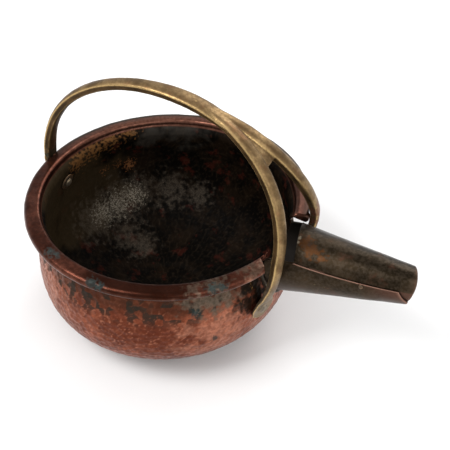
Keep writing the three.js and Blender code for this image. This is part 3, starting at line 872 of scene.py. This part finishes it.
def turned_piece(name, profile, place, seed, uneven, step=0.35, sides=56):
    """A turned shape stood on the wall, with the unevenness that the hammer leaves."""
    path = resampled(profile, step)
    turn = ring_angles(sides)
    r, z = path[1:-1, :1], path[1:-1, 1:]
    grid = np.stack([r * np.cos(turn), r * np.sin(turn), z + 0 * turn], -1)
    rows = len(grid)
    flat = np.concatenate([grid.reshape(-1, 3), [[0, 0, path[0, 1]], [0, 0, path[-1, 1]]]])
    bumps = rough(flat, 1.7, seed, 2)
    flat[:, :2] *= (1 - uneven * 0.5 * (1 + bumps[:, None]) / 6)
    flat[:, 2] -= np.sign(flat[:, 2]) * uneven * 0.35 * (1 + bumps) * 0.5
    faces = grid_quads(rows, sides).tolist()
    low, high, start = len(flat) - 2, len(flat) - 1, (rows - 1) * sides
    faces += [[low, (c + 1) % sides, c] for c in range(sides)]
    faces += [[high, start + c, start + (c + 1) % sides] for c in range(sides)]
    return mesh_piece(name, on_wall(flat, place), faces)


class SMOKER_OT_rivets(bpy.types.Operator):
    """Make the three rivets that hold the handle, with their roves inside the bowl"""

    bl_idname = "smoker.rivets"
    bl_label = "Rivets and roves"

    def execute(self, context):
        for seed, (name, place) in enumerate(RIVET_PLACES.items()):
            seat, tail = PALM_THICK + 0.25, -SHEET - ROVE_GAP - ROVE_THICK - TAIL_GAP
            rivet = [(0, tail - 1.45), (1.6, tail - 1.4), (2.7, tail - 1.05), (3.4, tail - 0.35),
                     (3.45, tail), (2.4, tail), (2.4, seat), (3.9, seat), (3.85, seat + 0.3),
                     (3.3, seat + 0.8), (2.3, seat + 1.2), (1.1, seat + 1.4), (0, seat + 1.45)]
            piece = turned_piece(f"{name}_handle_rivet", rivet, place, seed, 0.5)
            finish_piece(piece, "rivet_brass", rivet_material(), f"{name}_rivet")
            top = -SHEET - ROVE_GAP
            rove = [(2.75, top - 0.6), (2.8, top - 1.1), (3.2, top - 1.2), (5.6, top - 1.1),
                    (6.2, top - 0.85), (6.35, top - 0.4), (6.1, top - 0.05), (3.0, top), (2.75, top - 0.15)]
            piece = ring_piece(f"{name}_dished_rove", rove, place, seed + 5)
            finish_piece(piece, "rivet_copper", rove_material(), f"{name}_rove")
        back = SEAM_RIVET_BACK
        angle = float(seam_angle(back)) - 5.5 * DEG
        at = on_spout(back, float(spout_radius(back)), angle)
        out = at - on_spout(back, 0.0, 0.0)
        head = [(0, -4.0), (1.0, -3.9), (1.2, -3.5), (0.8, -3.4), (0.8, 0.2), (1.4, 0.2), (1.45, 0.35),
                (1.0, 0.7), (0, 0.85)]
        piece = turned_piece("small_seam_rivet", head, (at, out / np.linalg.norm(out)), 9, 0.1, 0.15, 32)
        finish_piece(piece, "rivet_copper", rove_material(), "seam_rivet")
        return {"FINISHED"}


def ring_piece(name, section, place, seed, sides=64):
    """A washer turned from a closed section, stood on the wall."""
    loop = resampled(section + section[:1], 0.3)[:-1]
    turn = ring_angles(sides)
    grid = np.stack([loop[None, :, 0] * np.cos(turn)[:, None], loop[None, :, 0] * np.sin(turn)[:, None],
                     loop[None, :, 1] + 0 * turn[:, None]], -1)
    flat = grid.reshape(-1, 3)
    flat[:, :2] *= 1 - 0.012 * (1 + rough(flat, 2.4, seed, 2))[:, None]
    faces = grid_quads(sides, len(loop)).tolist()
    last = (sides - 1) * len(loop)
    count = len(loop)
    faces += [[last + k, last + (k + 1) % count, (k + 1) % count, k] for k in range(count)]
    return mesh_piece(name, on_wall(flat, place), faces)


# ---------------------------------------------------------------- shader building


class Shader:
    """Adds nodes to a tree and joins them in one call each."""

    def __init__(self, tree):
        self.tree = tree

    def add(self, kind, inputs=(), **options):
        node = self.tree.nodes.new(kind)
        for key, value in options.items():
            setattr(node, key, value)
        for key, value in dict(inputs).items():
            self.put(node.inputs[key], value)
        return node

    def put(self, socket, value):
        if isinstance(value, bpy.types.NodeSocket):
            self.tree.links.new(value, socket)
        elif hasattr(value, "__len__") and socket.type == "RGBA" and len(value) == 3:
            socket.default_value = (*value, 1.0)
        else:
            socket.default_value = value

    def math(self, operation, a, b=0.0):
        return self.add("ShaderNodeMath", {0: a, 1: b}, operation=operation).outputs[0]

    def times(self, a, b):
        return self.math("MULTIPLY", a, b)

    def mix(self, share, a, b):
        return self.add("ShaderNodeMix", {0: share, 6: a, 7: b}, data_type="RGBA").outputs[2]

    def coat(self, base, mask, share, colour):
        """The base with a colour over it where the mask is, at a share."""
        return self.mix(self.times(mask, share), base, colour)

    def blend(self, share, a, b):
        return self.add("ShaderNodeMix", {0: share, 2: a, 3: b}).outputs[0]

    def ramp(self, value, low, high, start=0.0, end=1.0):
        node = self.add("ShaderNodeMapRange", {0: value, 1: low, 2: high, 3: start, 4: end},
                        interpolation_type="SMOOTHSTEP")
        return node.outputs[0]

    def place(self):
        return self.add("ShaderNodeTexCoord").outputs["Object"]

    def mask(self, name):
        return self.add("ShaderNodeAttribute", attribute_name=name).outputs["Fac"]

    def noise(self, scale, detail=4.0, rough_=0.55, vector=None):
        node = self.add("ShaderNodeTexNoise", {
            "Vector": vector or self.place(), "Scale": scale, "Detail": detail, "Roughness": rough_})
        return node.outputs["Fac"]

    def group(self, tree, **inputs):
        node = self.add("ShaderNodeGroup", node_tree=tree)
        for key, value in inputs.items():
            self.put(node.inputs[key.replace("_", " ")], value)
        return node.outputs


def new_group(name, inputs, outputs):
    """An empty shader group, with inputs by name and default, and outputs by name."""
    tree = bpy.data.node_groups.new(name, "ShaderNodeTree")
    for label, value in inputs.items():
        kind = "NodeSocketVector" if isinstance(value, tuple) else "NodeSocketFloat"
        tree.interface.new_socket(label, in_out="INPUT", socket_type=kind).default_value = value
    for label in outputs:
        tree.interface.new_socket(label, in_out="OUTPUT", socket_type="NodeSocketFloat")
    shader = Shader(tree)
    return tree, shader, shader.add("NodeGroupInput").outputs, shader.add("NodeGroupOutput").inputs


def once(build):
    """Keeps a group after its first making."""
    made = {}

    def get():
        if build.__name__ not in made:
            made[build.__name__] = build()
        return made[build.__name__]

    return get


@once
def stain_and_painted_light_group():
    """A ragged spot around a place: for verdigris, ash and worn patches, and for painted shade and painted
    highlights.
    """
    tree, sh, given, out = new_group("Stain and painted light", {
        "Centre": (0.0, 0.0, 0.0), "Radius": 0.01, "Ragged": 1.0, "Grain": 250.0, "Softness": 0.45}, ["Mask"])
    wobble = sh.noise(given["Grain"], 4.0, 0.5)
    away = sh.add("ShaderNodeVectorMath", {0: sh.place(), 1: given["Centre"]}, operation="DISTANCE")
    share = sh.math("DIVIDE", away.outputs["Value"], given["Radius"])
    stray = sh.times(sh.math("SUBTRACT", wobble, 0.5), given["Ragged"])
    uneven = sh.math("ADD", share, sh.times(stray, 2.4))
    sh.put(out["Mask"], sh.ramp(uneven, 1.05, sh.math("SUBTRACT", 1.05, given["Softness"])))
    return tree


@once
def mottle_group():
    """Cloudy change over a surface, between two thresholds."""
    tree, sh, given, out = new_group(
        "Mottle", {"Scale": 60.0, "Low": 0.4, "High": 0.6, "Fineness": 0.6}, ["Mask", "Grain"])
    cloud = sh.noise(given["Scale"], 7.0, given["Fineness"])
    sh.put(out["Mask"], sh.ramp(cloud, given["Low"], given["High"]))
    sh.put(out["Grain"], cloud)
    return tree


@once
def pitting_group():
    """Small corrosion pits: a mask of the pits, and a height that sinks in them."""
    tree, sh, given, out = new_group("Pitting", {"Scale": 900.0, "Amount": 0.4}, ["Mask", "Height"])
    cells = sh.add("ShaderNodeTexVoronoi", {"Vector": sh.place(), "Scale": given["Scale"]})
    where = sh.noise(90.0, 3.0)
    size = sh.times(sh.ramp(where, 0.35, 0.75), given["Amount"])
    pit = sh.math("LESS_THAN", cells.outputs["Distance"], size)
    sh.put(out["Mask"], pit)
    soft = sh.math("MINIMUM", sh.math("DIVIDE", cells.outputs["Distance"],
                                      sh.math("ADD", size, 0.02)), 1.0)
    sh.put(out["Height"], soft)
    return tree


@once
def wear_group():
    """Rubbed edges: where the surface is sharp and outward, broken up by a fine grain."""
    tree, sh, given, out = new_group("Edge wear", {"Low": 0.52, "High": 0.6, "Grain": 300.0}, ["Mask"])
    sharp = sh.add("ShaderNodeNewGeometry").outputs["Pointiness"]
    grain = sh.noise(given["Grain"], 5.0, 0.5)
    moved = sh.math("ADD", sharp, sh.times(sh.math("SUBTRACT", grain, 0.5), 0.06))
    sh.put(out["Mask"], sh.ramp(moved, given["Low"], given["High"]))
    return tree


@once
def scratch_group():
    """Fine scratches that run along one direction, as a mask."""
    tree, sh, given, out = new_group("Scratches", {
        "Stretch": (30.0, 900.0, 900.0), "Amount": 0.3, "Turn": (0.0, 0.0, 0.0)}, ["Mask"])
    turned = sh.add("ShaderNodeVectorRotate", {"Vector": sh.place(), "Rotation": given["Turn"]},
                    rotation_type="EULER_XYZ")
    long_ = sh.add("ShaderNodeVectorMath", {0: turned.outputs[0], 1: given["Stretch"]}, operation="MULTIPLY")
    lines = sh.noise(1.0, 3.0, 0.7, long_.outputs[0])
    node = sh.add("ShaderNodeMapRange", {0: lines, 1: 0.62, 2: 0.72})
    sh.put(out["Mask"], sh.times(node.outputs[0], given["Amount"]))
    return tree


def new_material(name):
    """A material, its shader builder and its principled node."""
    material = bpy.data.materials.new(name)
    material.use_nodes = True
    tree = material.node_tree
    tree.nodes.clear()
    sh = Shader(tree)
    surface = sh.add("ShaderNodeBsdfPrincipled")
    sh.put(sh.add("ShaderNodeOutputMaterial").inputs["Surface"], surface.outputs["BSDF"])
    return material, sh, surface


def bump(sh, surface, layers):
    """Chains bumps of (height, strength, distance in mm) into the surface's normal."""
    normal = None
    for height, strength, distance in layers:
        node = sh.add("ShaderNodeBump", {"Height": height, "Strength": strength, "Distance": distance * MM})
        if normal is not None:
            sh.put(node.inputs["Normal"], normal)
        normal = node.outputs["Normal"]
    sh.put(surface.inputs["Normal"], normal)


def spots(sh, places, grain=250.0, ragged=1.0, softness=0.45):
    """One mask of several ragged spots at (x, y, z, radius) in millimetres: stains, and painted shade and
    highlights.
    """
    total = None
    for x, y, z, radius in places:
        mask = sh.group(stain_and_painted_light_group(), Centre=(x * MM, y * MM, z * MM), Radius=radius * MM,
                        Ragged=ragged, Grain=grain, Softness=softness)["Mask"]
        total = mask if total is None else sh.math("MAXIMUM", total, mask)
    return total


# ---------------------------------------------------------------- finishes


def height_above(sh):
    return sh.add("ShaderNodeSeparateXYZ", {0: sh.place()}).outputs["Z"]


def bowl_material(finish):
    material, sh, surface = new_material("aged_hammered_copper")
    inside, rolled = sh.mask("inside"), sh.mask("rolled")
    ridge, tone = sh.mask("ridge"), sh.mask("tone")
    cloud = sh.group(mottle_group(), Scale=38.0, Low=0.36, High=0.66)
    fine = sh.group(mottle_group(), Scale=420.0, Low=0.38, High=0.62)
    # marked holds the grey dished marks and the painted shadow beside the front arm.
    base, marked = outside_colour(sh, finish, cloud, fine, ridge, tone)
    base = sh.mix(rolled, base, rim_colour(sh, cloud, fine))
    base = sh.mix(inside, base, inside_colour(sh, finish, fine, ridge))
    green = spots(sh, [(-33, -88, 96, 4.4), (-38, -87, 95, 4), (1, -98, 95, 5), (7, -98, 94, 4.5),
                       (70, -67, 95, 5), (75, -63, 95, 4), (59, -70, 69, 3.4), (69, -62, 43, 3)],
                  420.0, 1.6, 0.7)
    green = sh.times(green, sh.math("SUBTRACT", 1.0, inside))
    salts = sh.mix(fine["Mask"], tuple(c * 0.35 for c in finish.verdigris), tuple(finish.verdigris))
    base = sh.coat(base, green, 0.8, salts)
    sh.put(surface.inputs["Base Color"], base)
    dull = sh.math("MAXIMUM", sh.math("MAXIMUM", inside, green), sh.times(marked, 0.6))
    sh.put(surface.inputs["Metallic"], sh.ramp(dull, 0.0, 1.0, 0.9, 0.05))
    rough_ = sh.blend(rolled, sh.blend(fine["Mask"], 0.34, 0.5), 0.29)
    sh.put(surface.inputs["Roughness"], sh.math("ADD", rough_, sh.times(dull, 0.25)))
    surface.inputs["Specular IOR Level"].default_value = 0.05
    pits = sh.group(pitting_group(), Scale=520.0, Amount=0.42)
    bump(sh, surface, [(sh.noise(130.0, 3.0), 0.35, 0.5), (fine["Grain"], 0.6, 0.16),
                       (pits["Height"], 0.4, 0.12)])
    return material


def outside_colour(sh, finish, cloud, fine, ridge, tone):
    """Copper outside: bright ridges, darker dished marks, a dark band under the rim, painted shade across the
    middle of the front, painted highlights at the left and right, and a painted shadow beside the front arm.
    """
    copper = tuple(finish.copper)
    z = height_above(sh)
    base = sh.mix(cloud["Mask"], tuple(c * 0.6 for c in copper), copper)
    base = sh.mix(sh.ramp(tone, 0.3, 1.0, 0.0, 0.6), base, (0.12, 0.028, 0.014))
    # Painted shade: the middle of the front darkened, standing in for a dark reflection there.
    dark = spots(sh, [(38, -84, 56, 40), (12, -92, 62, 32), (-8, -90, 76, 24)], 90.0, 1.2, 0.9)
    base = sh.coat(base, dark, 0.75, (0.1, 0.023, 0.011))
    # Painted highlights: lighter zones at the right and the left of the front.
    painted_highlights = spots(sh, [(72, -58, 46, 34), (90, -30, 42, 24), (-58, -75, 52, 40), (-84, -50, 55, 36)], 110.0,
                 1.4, 1.0)
    base = sh.coat(base, painted_highlights, 0.5, (0.5, 0.22, 0.14))
    worn = sh.times(ridge, sh.ramp(sh.noise(150.0, 3.0), 0.38, 0.62, 0.1, 0.6))
    base = sh.mix(worn, base, (0.56, 0.22, 0.125))
    base = sh.coat(base, fine["Mask"], 0.35, (0.07, 0.017, 0.009))
    neck = sh.math("ADD", z, sh.times(sh.math("SUBTRACT", cloud["Grain"], 0.5), 0.03))
    base = sh.coat(base, sh.ramp(neck, 0.064, 0.075), 0.8, (0.05, 0.018, 0.01))
    band = sh.times(sh.ramp(z, 0.056, 0.068), sh.ramp(z, 0.084, 0.074))
    marked = sh.times(band, sh.ramp(tone, 0.45, 0.6))
    marked = sh.times(marked, sh.math("SUBTRACT", 1.0, sh.times(ridge, 0.7)))
    base = sh.coat(base, marked, 0.85, (0.022, 0.021, 0.016))
    low = sh.times(sh.ramp(z, 0.03, 0.008), sh.ramp(cloud["Grain"], 0.35, 0.6))
    base = sh.coat(base, low, 0.7, (0.05, 0.022, 0.016))
    grey = spots(sh, [(61, -66, 78, 14), (71, -56, 75, 14), (66, -60, 84, 12)], 170.0, 1.6, 0.8)
    base = sh.coat(base, grey, 0.8, sh.mix(fine["Mask"], (0.075, 0.058, 0.04), (0.15, 0.11, 0.08)))
    # Painted shadow: near-black where the front arm stands off the wall, with golden scratch streaks over it.
    painted_arm_shadow = spots(sh, [(82, -37, 76, 13), (81, -42, 63, 10), (86, -31, 64, 12)], 200.0, 1.2, 0.8)
    base = sh.coat(base, painted_arm_shadow, 0.95, (0.01, 0.006, 0.0035))
    scratch = sh.group(scratch_group(), Stretch=(500.0, 500.0, 60.0), Amount=0.9, Turn=(0.3, 0.5, 0.0))
    base = sh.mix(sh.times(painted_arm_shadow, scratch["Mask"]), base, (0.3, 0.15, 0.045))
    # The second mask, which dulls the metal, holds the grey marks and this painted shadow.
    return base, sh.math("MAXIMUM", marked, painted_arm_shadow)


def rim_colour(sh, cloud, fine):
    """Rolled rim: dark red-brown, rubbed along its edges, grey-green round the back, with painted shade past
    its back end behind the back arm.
    """
    wear = sh.group(wear_group(), Low=0.525, High=0.6, Grain=160.0)
    x, y, _ = sh.add("ShaderNodeSeparateXYZ", {0: sh.place()}).outputs
    base = sh.mix(cloud["Mask"], (0.05, 0.014, 0.008), (0.16, 0.055, 0.035))
    front = spots(sh, [(30, -93, 95, 34), (52, -80, 95, 20)], 60.0, 1.0)
    base = sh.coat(base, front, 0.8, (0.026, 0.007, 0.0035))
    base = sh.mix(sh.ramp(y, -0.02, 0.05, 0.0, 0.6), base, (0.24, 0.11, 0.075))
    radius = sh.math("SQRT", sh.math("ADD", sh.times(x, x), sh.times(y, y)))
    outer = sh.times(sh.ramp(radius, 0.0935, 0.0955), sh.ramp(y, -0.01, 0.03))
    base = sh.coat(base, outer, 0.85, sh.mix(fine["Mask"], (0.03, 0.033, 0.026), (0.07, 0.06, 0.045)))
    grey = spots(sh, [(71, -64, 96, 10), (84, -40, 96, 12), (60, -73, 96, 7)], 260.0, 1.6, 0.8)
    base = sh.coat(base, grey, 0.7, (0.15, 0.105, 0.075))
    # Painted shade on the rim behind the back arm, near the rim's back end.
    painted_shade_back_end = spots(sh, [(92, 32, 92, 22), (80, 58, 92, 24), (86, 44, 88, 20)], 90.0, 0.8, 0.8)
    base = sh.coat(base, painted_shade_back_end, 0.85, (0.035, 0.014, 0.009))
    orange = spots(sh, [(92, -40, 89, 6), (87, -50, 89, 6)], 260.0, 1.2, 0.8)
    base = sh.coat(base, orange, 0.45, (0.42, 0.17, 0.1))
    base = sh.coat(base, fine["Mask"], 0.45, (0.03, 0.012, 0.008))
    return sh.coat(base, wear["Mask"], 0.8, (0.46, 0.22, 0.15))


def inside_colour(sh, finish, fine, ridge):
    """Sooty inside, with ash in the bend of the wall, gold and red burnt patches, and painted glints on the
    hammer ridges.
    """
    soot = tuple(finish.soot)
    burnt = sh.mix(sh.group(mottle_group(), Scale=55.0, Low=0.45, High=0.65)["Mask"], soot,
                   (0.009, 0.005, 0.0025))
    red = sh.group(mottle_group(), Scale=75.0, Low=0.58, High=0.66)["Mask"]
    burnt = sh.coat(burnt, red, 0.5, (0.05, 0.009, 0.005))
    left = spots(sh, [(-80, 10, 55, 46), (-70, -20, 70, 50)], 40.0, 0.8)
    burnt = sh.coat(burnt, left, 0.65, (0.04, 0.026, 0.012))
    gold = spots(sh, [(-81, 26, 87, 11), (-85, 12, 84, 10), (-76, 42, 90, 10), (-66, 54, 92, 8)],
                 420.0, 1.9, 1.0)
    burnt = sh.coat(burnt, gold, 0.8, (0.17, 0.075, 0.024))
    flecks = spots(sh, [(-69, 55, 58, 5), (-72, 46, 62, 4), (-78, 36, 60, 4)], 700.0, 2.2, 0.8)
    burnt = sh.coat(burnt, flecks, 0.8, (0.2, 0.08, 0.03))
    haze = spots(sh, [(-42, 74, 92, 20), (-54, 65, 88, 16), (-28, 79, 88, 18)], 120.0, 1.0, 1.0)
    burnt = sh.coat(burnt, haze, 0.5, (0.055, 0.048, 0.04))
    bright = spots(sh, [(-73, 40, 28, 15), (-79, 28, 26, 13), (-66, 51, 31, 13)], 500.0, 1.2, 1.0)
    ash = spots(sh, [(-73, 40, 28, 26), (-81, 16, 25, 22), (-62, 56, 33, 20), (-42, 70, 33, 18),
                     (-20, 78, 30, 14), (-47, 26, 7, 17), (-57, 26, 11, 15), (-40, 26, 5, 11)],
                260.0, 1.2, 1.0)
    streaks = sh.group(scratch_group(), Stretch=(260.0, 260.0, 1500.0), Amount=1.0, Turn=(0.25, 0.3, 0.6))
    speckle = sh.ramp(sh.noise(1500.0, 3.0, 0.7), 0.42, 0.7)
    grain = sh.math("MAXIMUM", sh.times(streaks["Mask"], 0.9), speckle)
    burnt = sh.mix(sh.times(ash, sh.math("ADD", sh.times(grain, 0.55), 0.25)), burnt,
                   (0.105, 0.083, 0.062))
    burnt = sh.mix(sh.times(bright, grain), burnt, (0.5, 0.43, 0.33))
    # Painted glints: the hammer ridges lightened.
    return sh.coat(burnt, ridge, 0.12, (0.09, 0.06, 0.036))


def spout_material(finish):
    material, sh, surface = new_material("oxidised_spout_copper")
    edge, inside, lap = sh.mask("cut_edge"), sh.mask("inside"), sh.mask("lap")
    cloud = sh.group(mottle_group(), Scale=45.0, Low=0.38, High=0.64)
    fine = sh.group(mottle_group(), Scale=520.0, Low=0.4, High=0.62)
    base = sh.mix(cloud["Mask"], (0.017, 0.0115, 0.006), (0.044, 0.029, 0.016))
    base = sh.coat(base, fine["Mask"], 0.35, (0.075, 0.056, 0.04))
    reddish = sh.group(mottle_group(), Scale=90.0, Low=0.55, High=0.68)["Mask"]
    base = sh.coat(base, reddish, 0.4, (0.07, 0.024, 0.015))
    low = sh.ramp(height_above(sh), 0.08, 0.066)
    base = sh.coat(base, low, 0.55, (0.12, 0.09, 0.075))
    base = sh.mix(sh.times(lap, sh.ramp(sh.mask("back"), 0.35, 0.05, 0.0, 0.6)), base,
                  (0.12, 0.055, 0.04))
    stain = spots(sh, [(111, -10, 97, 6), (106, -6, 99, 5), (119, -10, 94, 5)], 260.0, 1.7, 0.9)
    base = sh.coat(base, stain, 0.55, (0.11, 0.04, 0.012))
    scuffs = sh.group(scratch_group(), Stretch=(60.0, 700.0, 700.0), Amount=1.0, Turn=(0.0, 0.35, 0.2))
    patch = spots(sh, [(127, -19, 77, 7), (124, -20, 74, 5)], 200.0, 1.2)
    base = sh.mix(sh.times(patch, scuffs["Mask"]), base, (0.4, 0.3, 0.16))
    nick = spots(sh, [(101, -5, 99, 1.6), (101, -8, 98, 1.4)], 300.0, 1.0)
    base = sh.coat(base, nick, 0.5, (0.35, 0.3, 0.22))
    base = sh.coat(base, edge, 0.7, (0.4, 0.22, 0.16))
    base = sh.coat(base, inside, 0.9, tuple(finish.soot))
    sh.put(surface.inputs["Base Color"], base)
    sh.put(surface.inputs["Metallic"], sh.blend(inside, 0.85, 0.05))
    rough_ = sh.blend(cloud["Mask"], 0.34, 0.5)
    sh.put(surface.inputs["Roughness"], sh.math("ADD", rough_, sh.times(inside, 0.3)))
    surface.inputs["Specular IOR Level"].default_value = 0.15
    long_ = sh.group(scratch_group(), Stretch=(25.0, 500.0, 500.0), Amount=1.0, Turn=(0.0, 0.12, 0.0))
    bump(sh, surface, [(sh.noise(70.0, 3.0), 0.3, 0.5), (fine["Grain"], 0.5, 0.12),
                       (long_["Mask"], 0.15, 0.06)])
    return material


def handle_material(finish):
    material, sh, surface = new_material("worn_cast_brass")
    brass = tuple(finish.brass)
    arris, flank, inner = sh.mask("arris"), sh.mask("flank"), sh.mask("inner_face")
    cloud = sh.group(mottle_group(), Scale=60.0, Low=0.38, High=0.64)
    fine = sh.group(mottle_group(), Scale=600.0, Low=0.36, High=0.64)
    wear = sh.group(wear_group(), Low=0.51, High=0.57, Grain=420.0)
    base = sh.mix(cloud["Mask"], (0.14, 0.085, 0.037), (0.34, 0.225, 0.105))
    reddish = sh.group(mottle_group(), Scale=110.0, Low=0.54, High=0.68)["Mask"]
    base = sh.coat(base, reddish, 0.45, (0.2, 0.085, 0.038))
    base = sh.coat(base, fine["Mask"], 0.35, (0.085, 0.05, 0.022))
    # Painted shade: the side faces of the bar darkened, as if turned away from the light.
    hollow = sh.mix(cloud["Mask"], (0.026, 0.014, 0.005), (0.075, 0.038, 0.013))
    base = sh.coat(base, flank, 0.88, hollow)
    # Painted shade on the inner face under the bar.
    base = sh.coat(base, inner, 0.7, (0.05, 0.032, 0.014))
    low = sh.ramp(height_above(sh), 0.092, 0.07)
    base = sh.coat(base, low, 0.6, sh.mix(fine["Mask"], (0.12, 0.1, 0.075), (0.27, 0.215, 0.16)))
    # Arris lightened towards bright brass: partly wear, partly a painted highlight.
    arris_wear_and_highlight = sh.times(arris, sh.ramp(fine["Grain"], 0.36, 0.5, 0.35, 1.0))
    base = sh.coat(base, arris_wear_and_highlight, 0.9, brass)
    base = sh.coat(base, wear["Mask"], 0.3, brass)
    # Painted shade: reddish dark on the back arm just above and below the rim.
    red = spots(sh, [(95, 30, 98, 9), (96, 32, 88, 7)], 240.0, 1.5)
    base = sh.coat(base, red, 0.6, (0.17, 0.05, 0.025))
    # Dark green on the rear limb where it passes the rim: verdigris, and painted shade.
    green = spots(sh, [(-97, 5, 99, 8), (-96, -5, 97, 7)], 260.0, 1.5)
    base = sh.coat(base, green, 0.75, (0.02, 0.03, 0.02))
    sh.put(surface.inputs["Base Color"], base)
    sh.put(surface.inputs["Metallic"], sh.blend(arris_wear_and_highlight, 0.8, 0.98))
    rough_ = sh.math("ADD", sh.blend(arris_wear_and_highlight, 0.4, 0.24), sh.times(fine["Mask"], 0.09))
    sh.put(surface.inputs["Roughness"], sh.math("ADD", rough_, sh.times(flank, 0.12)))
    surface.inputs["Specular IOR Level"].default_value = 0.2
    pits = sh.group(pitting_group(), Scale=750.0, Amount=0.4)
    bump(sh, surface, [(sh.noise(210.0, 4.0), 0.4, 0.3), (fine["Grain"], 0.45, 0.1),
                       (pits["Height"], 0.4, 0.1)])
    return material


def small_metal(name, scale, low, dark, light, rubbed, metallic, roughness, relief):
    """A cloudy metal for a small piece; rubbed holds (colour, share, threshold, grain) or nothing."""
    material, sh, surface = new_material(name)
    cloud = sh.group(mottle_group(), Scale=scale, Low=low, High=0.62)
    base = sh.mix(cloud["Mask"], dark, light)
    if rubbed:
        colour, share, high, grain = rubbed
        base = sh.coat(base, sh.group(wear_group(), Low=0.5, High=high, Grain=grain)["Mask"], share, colour)
    sh.put(surface.inputs["Base Color"], base)
    sh.put(surface.inputs["Metallic"], sh.blend(cloud["Mask"], *metallic))
    sh.put(surface.inputs["Roughness"], sh.blend(cloud["Mask"], *roughness))
    bump(sh, surface, [(cloud["Grain"], *relief)])
    return material


def iron_material():
    return small_metal("rusted_iron", 320.0, 0.4, (0.05, 0.03, 0.022), (0.16, 0.06, 0.025), None,
                       (0.7, 0.1), (0.55, 0.9), (0.6, 0.2))


def solder_material():
    return small_metal("dull_brazing", 210.0, 0.4, (0.022, 0.017, 0.012), (0.075, 0.055, 0.036),
                       ((0.3, 0.22, 0.14), 0.4, 0.62, 300.0), (0.35, 0.7), (0.62, 0.42), (0.6, 0.3))


@once
def rivet_material():
    return small_metal("dull_rivet_brass", 260.0, 0.38, (0.10, 0.08, 0.058), (0.25, 0.2, 0.14),
                       ((0.45, 0.34, 0.2), 0.6, 0.6, 500.0), (0.55, 0.85), (0.55, 0.38), (0.5, 0.15))


@once
def rove_material():
    return small_metal("dark_rove_copper", 240.0, 0.38, (0.055, 0.038, 0.024), (0.15, 0.085, 0.045),
                       ((0.33, 0.2, 0.1), 0.6, 0.6, 500.0), (0.5, 0.8), (0.6, 0.42), (0.5, 0.15))


# ---------------------------------------------------------------- stage


def area_light(name, place, aim, power, size, colour=(1.0, 1.0, 1.0)):
    light = bpy.data.lights.new(name, "AREA")
    light.energy, light.size, light.color = power, size, colour
    holder = bpy.data.objects.new(name, light)
    holder.location = place
    holder.rotation_mode = "QUATERNION"
    holder.rotation_quaternion = (Vector(aim) - Vector(place)).to_track_quat("-Z", "Y")
    bpy.context.scene.collection.objects.link(holder)


class SMOKER_OT_stage(bpy.types.Operator):
    """Make the floor, the studio light and the camera"""

    bl_idname = "smoker.stage"
    bl_label = "Stage"

    def execute(self, context):
        settings = context.scene.smoker_stage
        half, depth = 3000.0, -0.05
        work = [(-half, -half, depth), (half, -half, depth), (half, half, depth), (-half, half, depth)]
        floor = mesh_piece("pale_floor", work, [[0, 1, 2, 3]])
        material, sh, surface = new_material("pale_floor")
        grain = sh.group(mottle_group(), Scale=9.0, Low=0.2, High=0.8)
        tint = tuple(settings.floor)
        sh.put(surface.inputs["Base Color"], sh.mix(grain["Mask"], tint, tuple(c * 0.985 for c in tint)))
        sh.put(surface.inputs["Roughness"], 0.9)
        floor.data.materials.append(material)
        area_light("key", (-0.55, -0.75, 1.25), (0, 0, 0.06), settings.key, 0.7)
        area_light("fill", (0.95, -0.55, 0.75), (0.05, 0, 0.06), settings.key * 0.3, 0.9)
        area_light("back", (0.2, 1.0, 0.9), (0, 0, 0.08), settings.key * 0.55, 0.9)
        world = bpy.data.worlds.new("pale_room")
        world.use_nodes = True
        world.node_tree.nodes["Background"].inputs["Color"].default_value = (1, 1, 1, 1)
        world.node_tree.nodes["Background"].inputs["Strength"].default_value = 0.6
        context.scene.world = world
        turn = Matrix((CAMERA_RIGHT, CAMERA_UP, CAMERA_BACK)).transposed()
        camera = bpy.data.objects.new("camera", bpy.data.cameras.new("camera"))
        camera.data.sensor_width, camera.data.lens = SENSOR_WIDTH, settings.lens
        camera.matrix_world = Matrix.Translation(CAMERA_PLACE) @ turn.to_4x4()
        context.scene.collection.objects.link(camera)
        context.scene.camera = camera
        context.scene.view_settings.view_transform = "Standard"
        return {"FINISHED"}


# ---------------------------------------------------------------- add-on


class SMOKER_PT_panel(bpy.types.Panel):
    """Lists the pieces of the smoker"""

    bl_idname = "SMOKER_PT_panel"
    bl_label = "Bee smoker"
    bl_space_type = "VIEW_3D"
    bl_region_type = "UI"
    bl_category = "Smoker"

    def draw(self, context):
        for maker in MAKERS:
            self.layout.operator(maker.bl_idname)
        for name, group in SETTINGS.items():
            box = self.layout.box()
            for field in group.__annotations__:
                box.prop(getattr(context.scene, name), field)


MAKERS = [SMOKER_OT_stage, SMOKER_OT_bowl, SMOKER_OT_rim_hoop, SMOKER_OT_spout, SMOKER_OT_solder,
          SMOKER_OT_handle, SMOKER_OT_rivets]


def register():
    for group in SETTINGS.values():
        bpy.utils.register_class(group)
    for maker in [*MAKERS, SMOKER_PT_panel]:
        bpy.utils.register_class(maker)
    for name, group in SETTINGS.items():
        setattr(bpy.types.Scene, name, PointerProperty(type=group))


def unregister():
    for name in SETTINGS:
        delattr(bpy.types.Scene, name)
    for maker in [SMOKER_PT_panel, *reversed(MAKERS)]:
        bpy.utils.unregister_class(maker)
    for group in reversed(SETTINGS.values()):
        bpy.utils.unregister_class(group)


def main():
    register()
    for maker in MAKERS:
        family, verb = maker.bl_idname.split(".")
        getattr(getattr(bpy.ops, family), verb)()


if __name__ == "__main__":
    main()
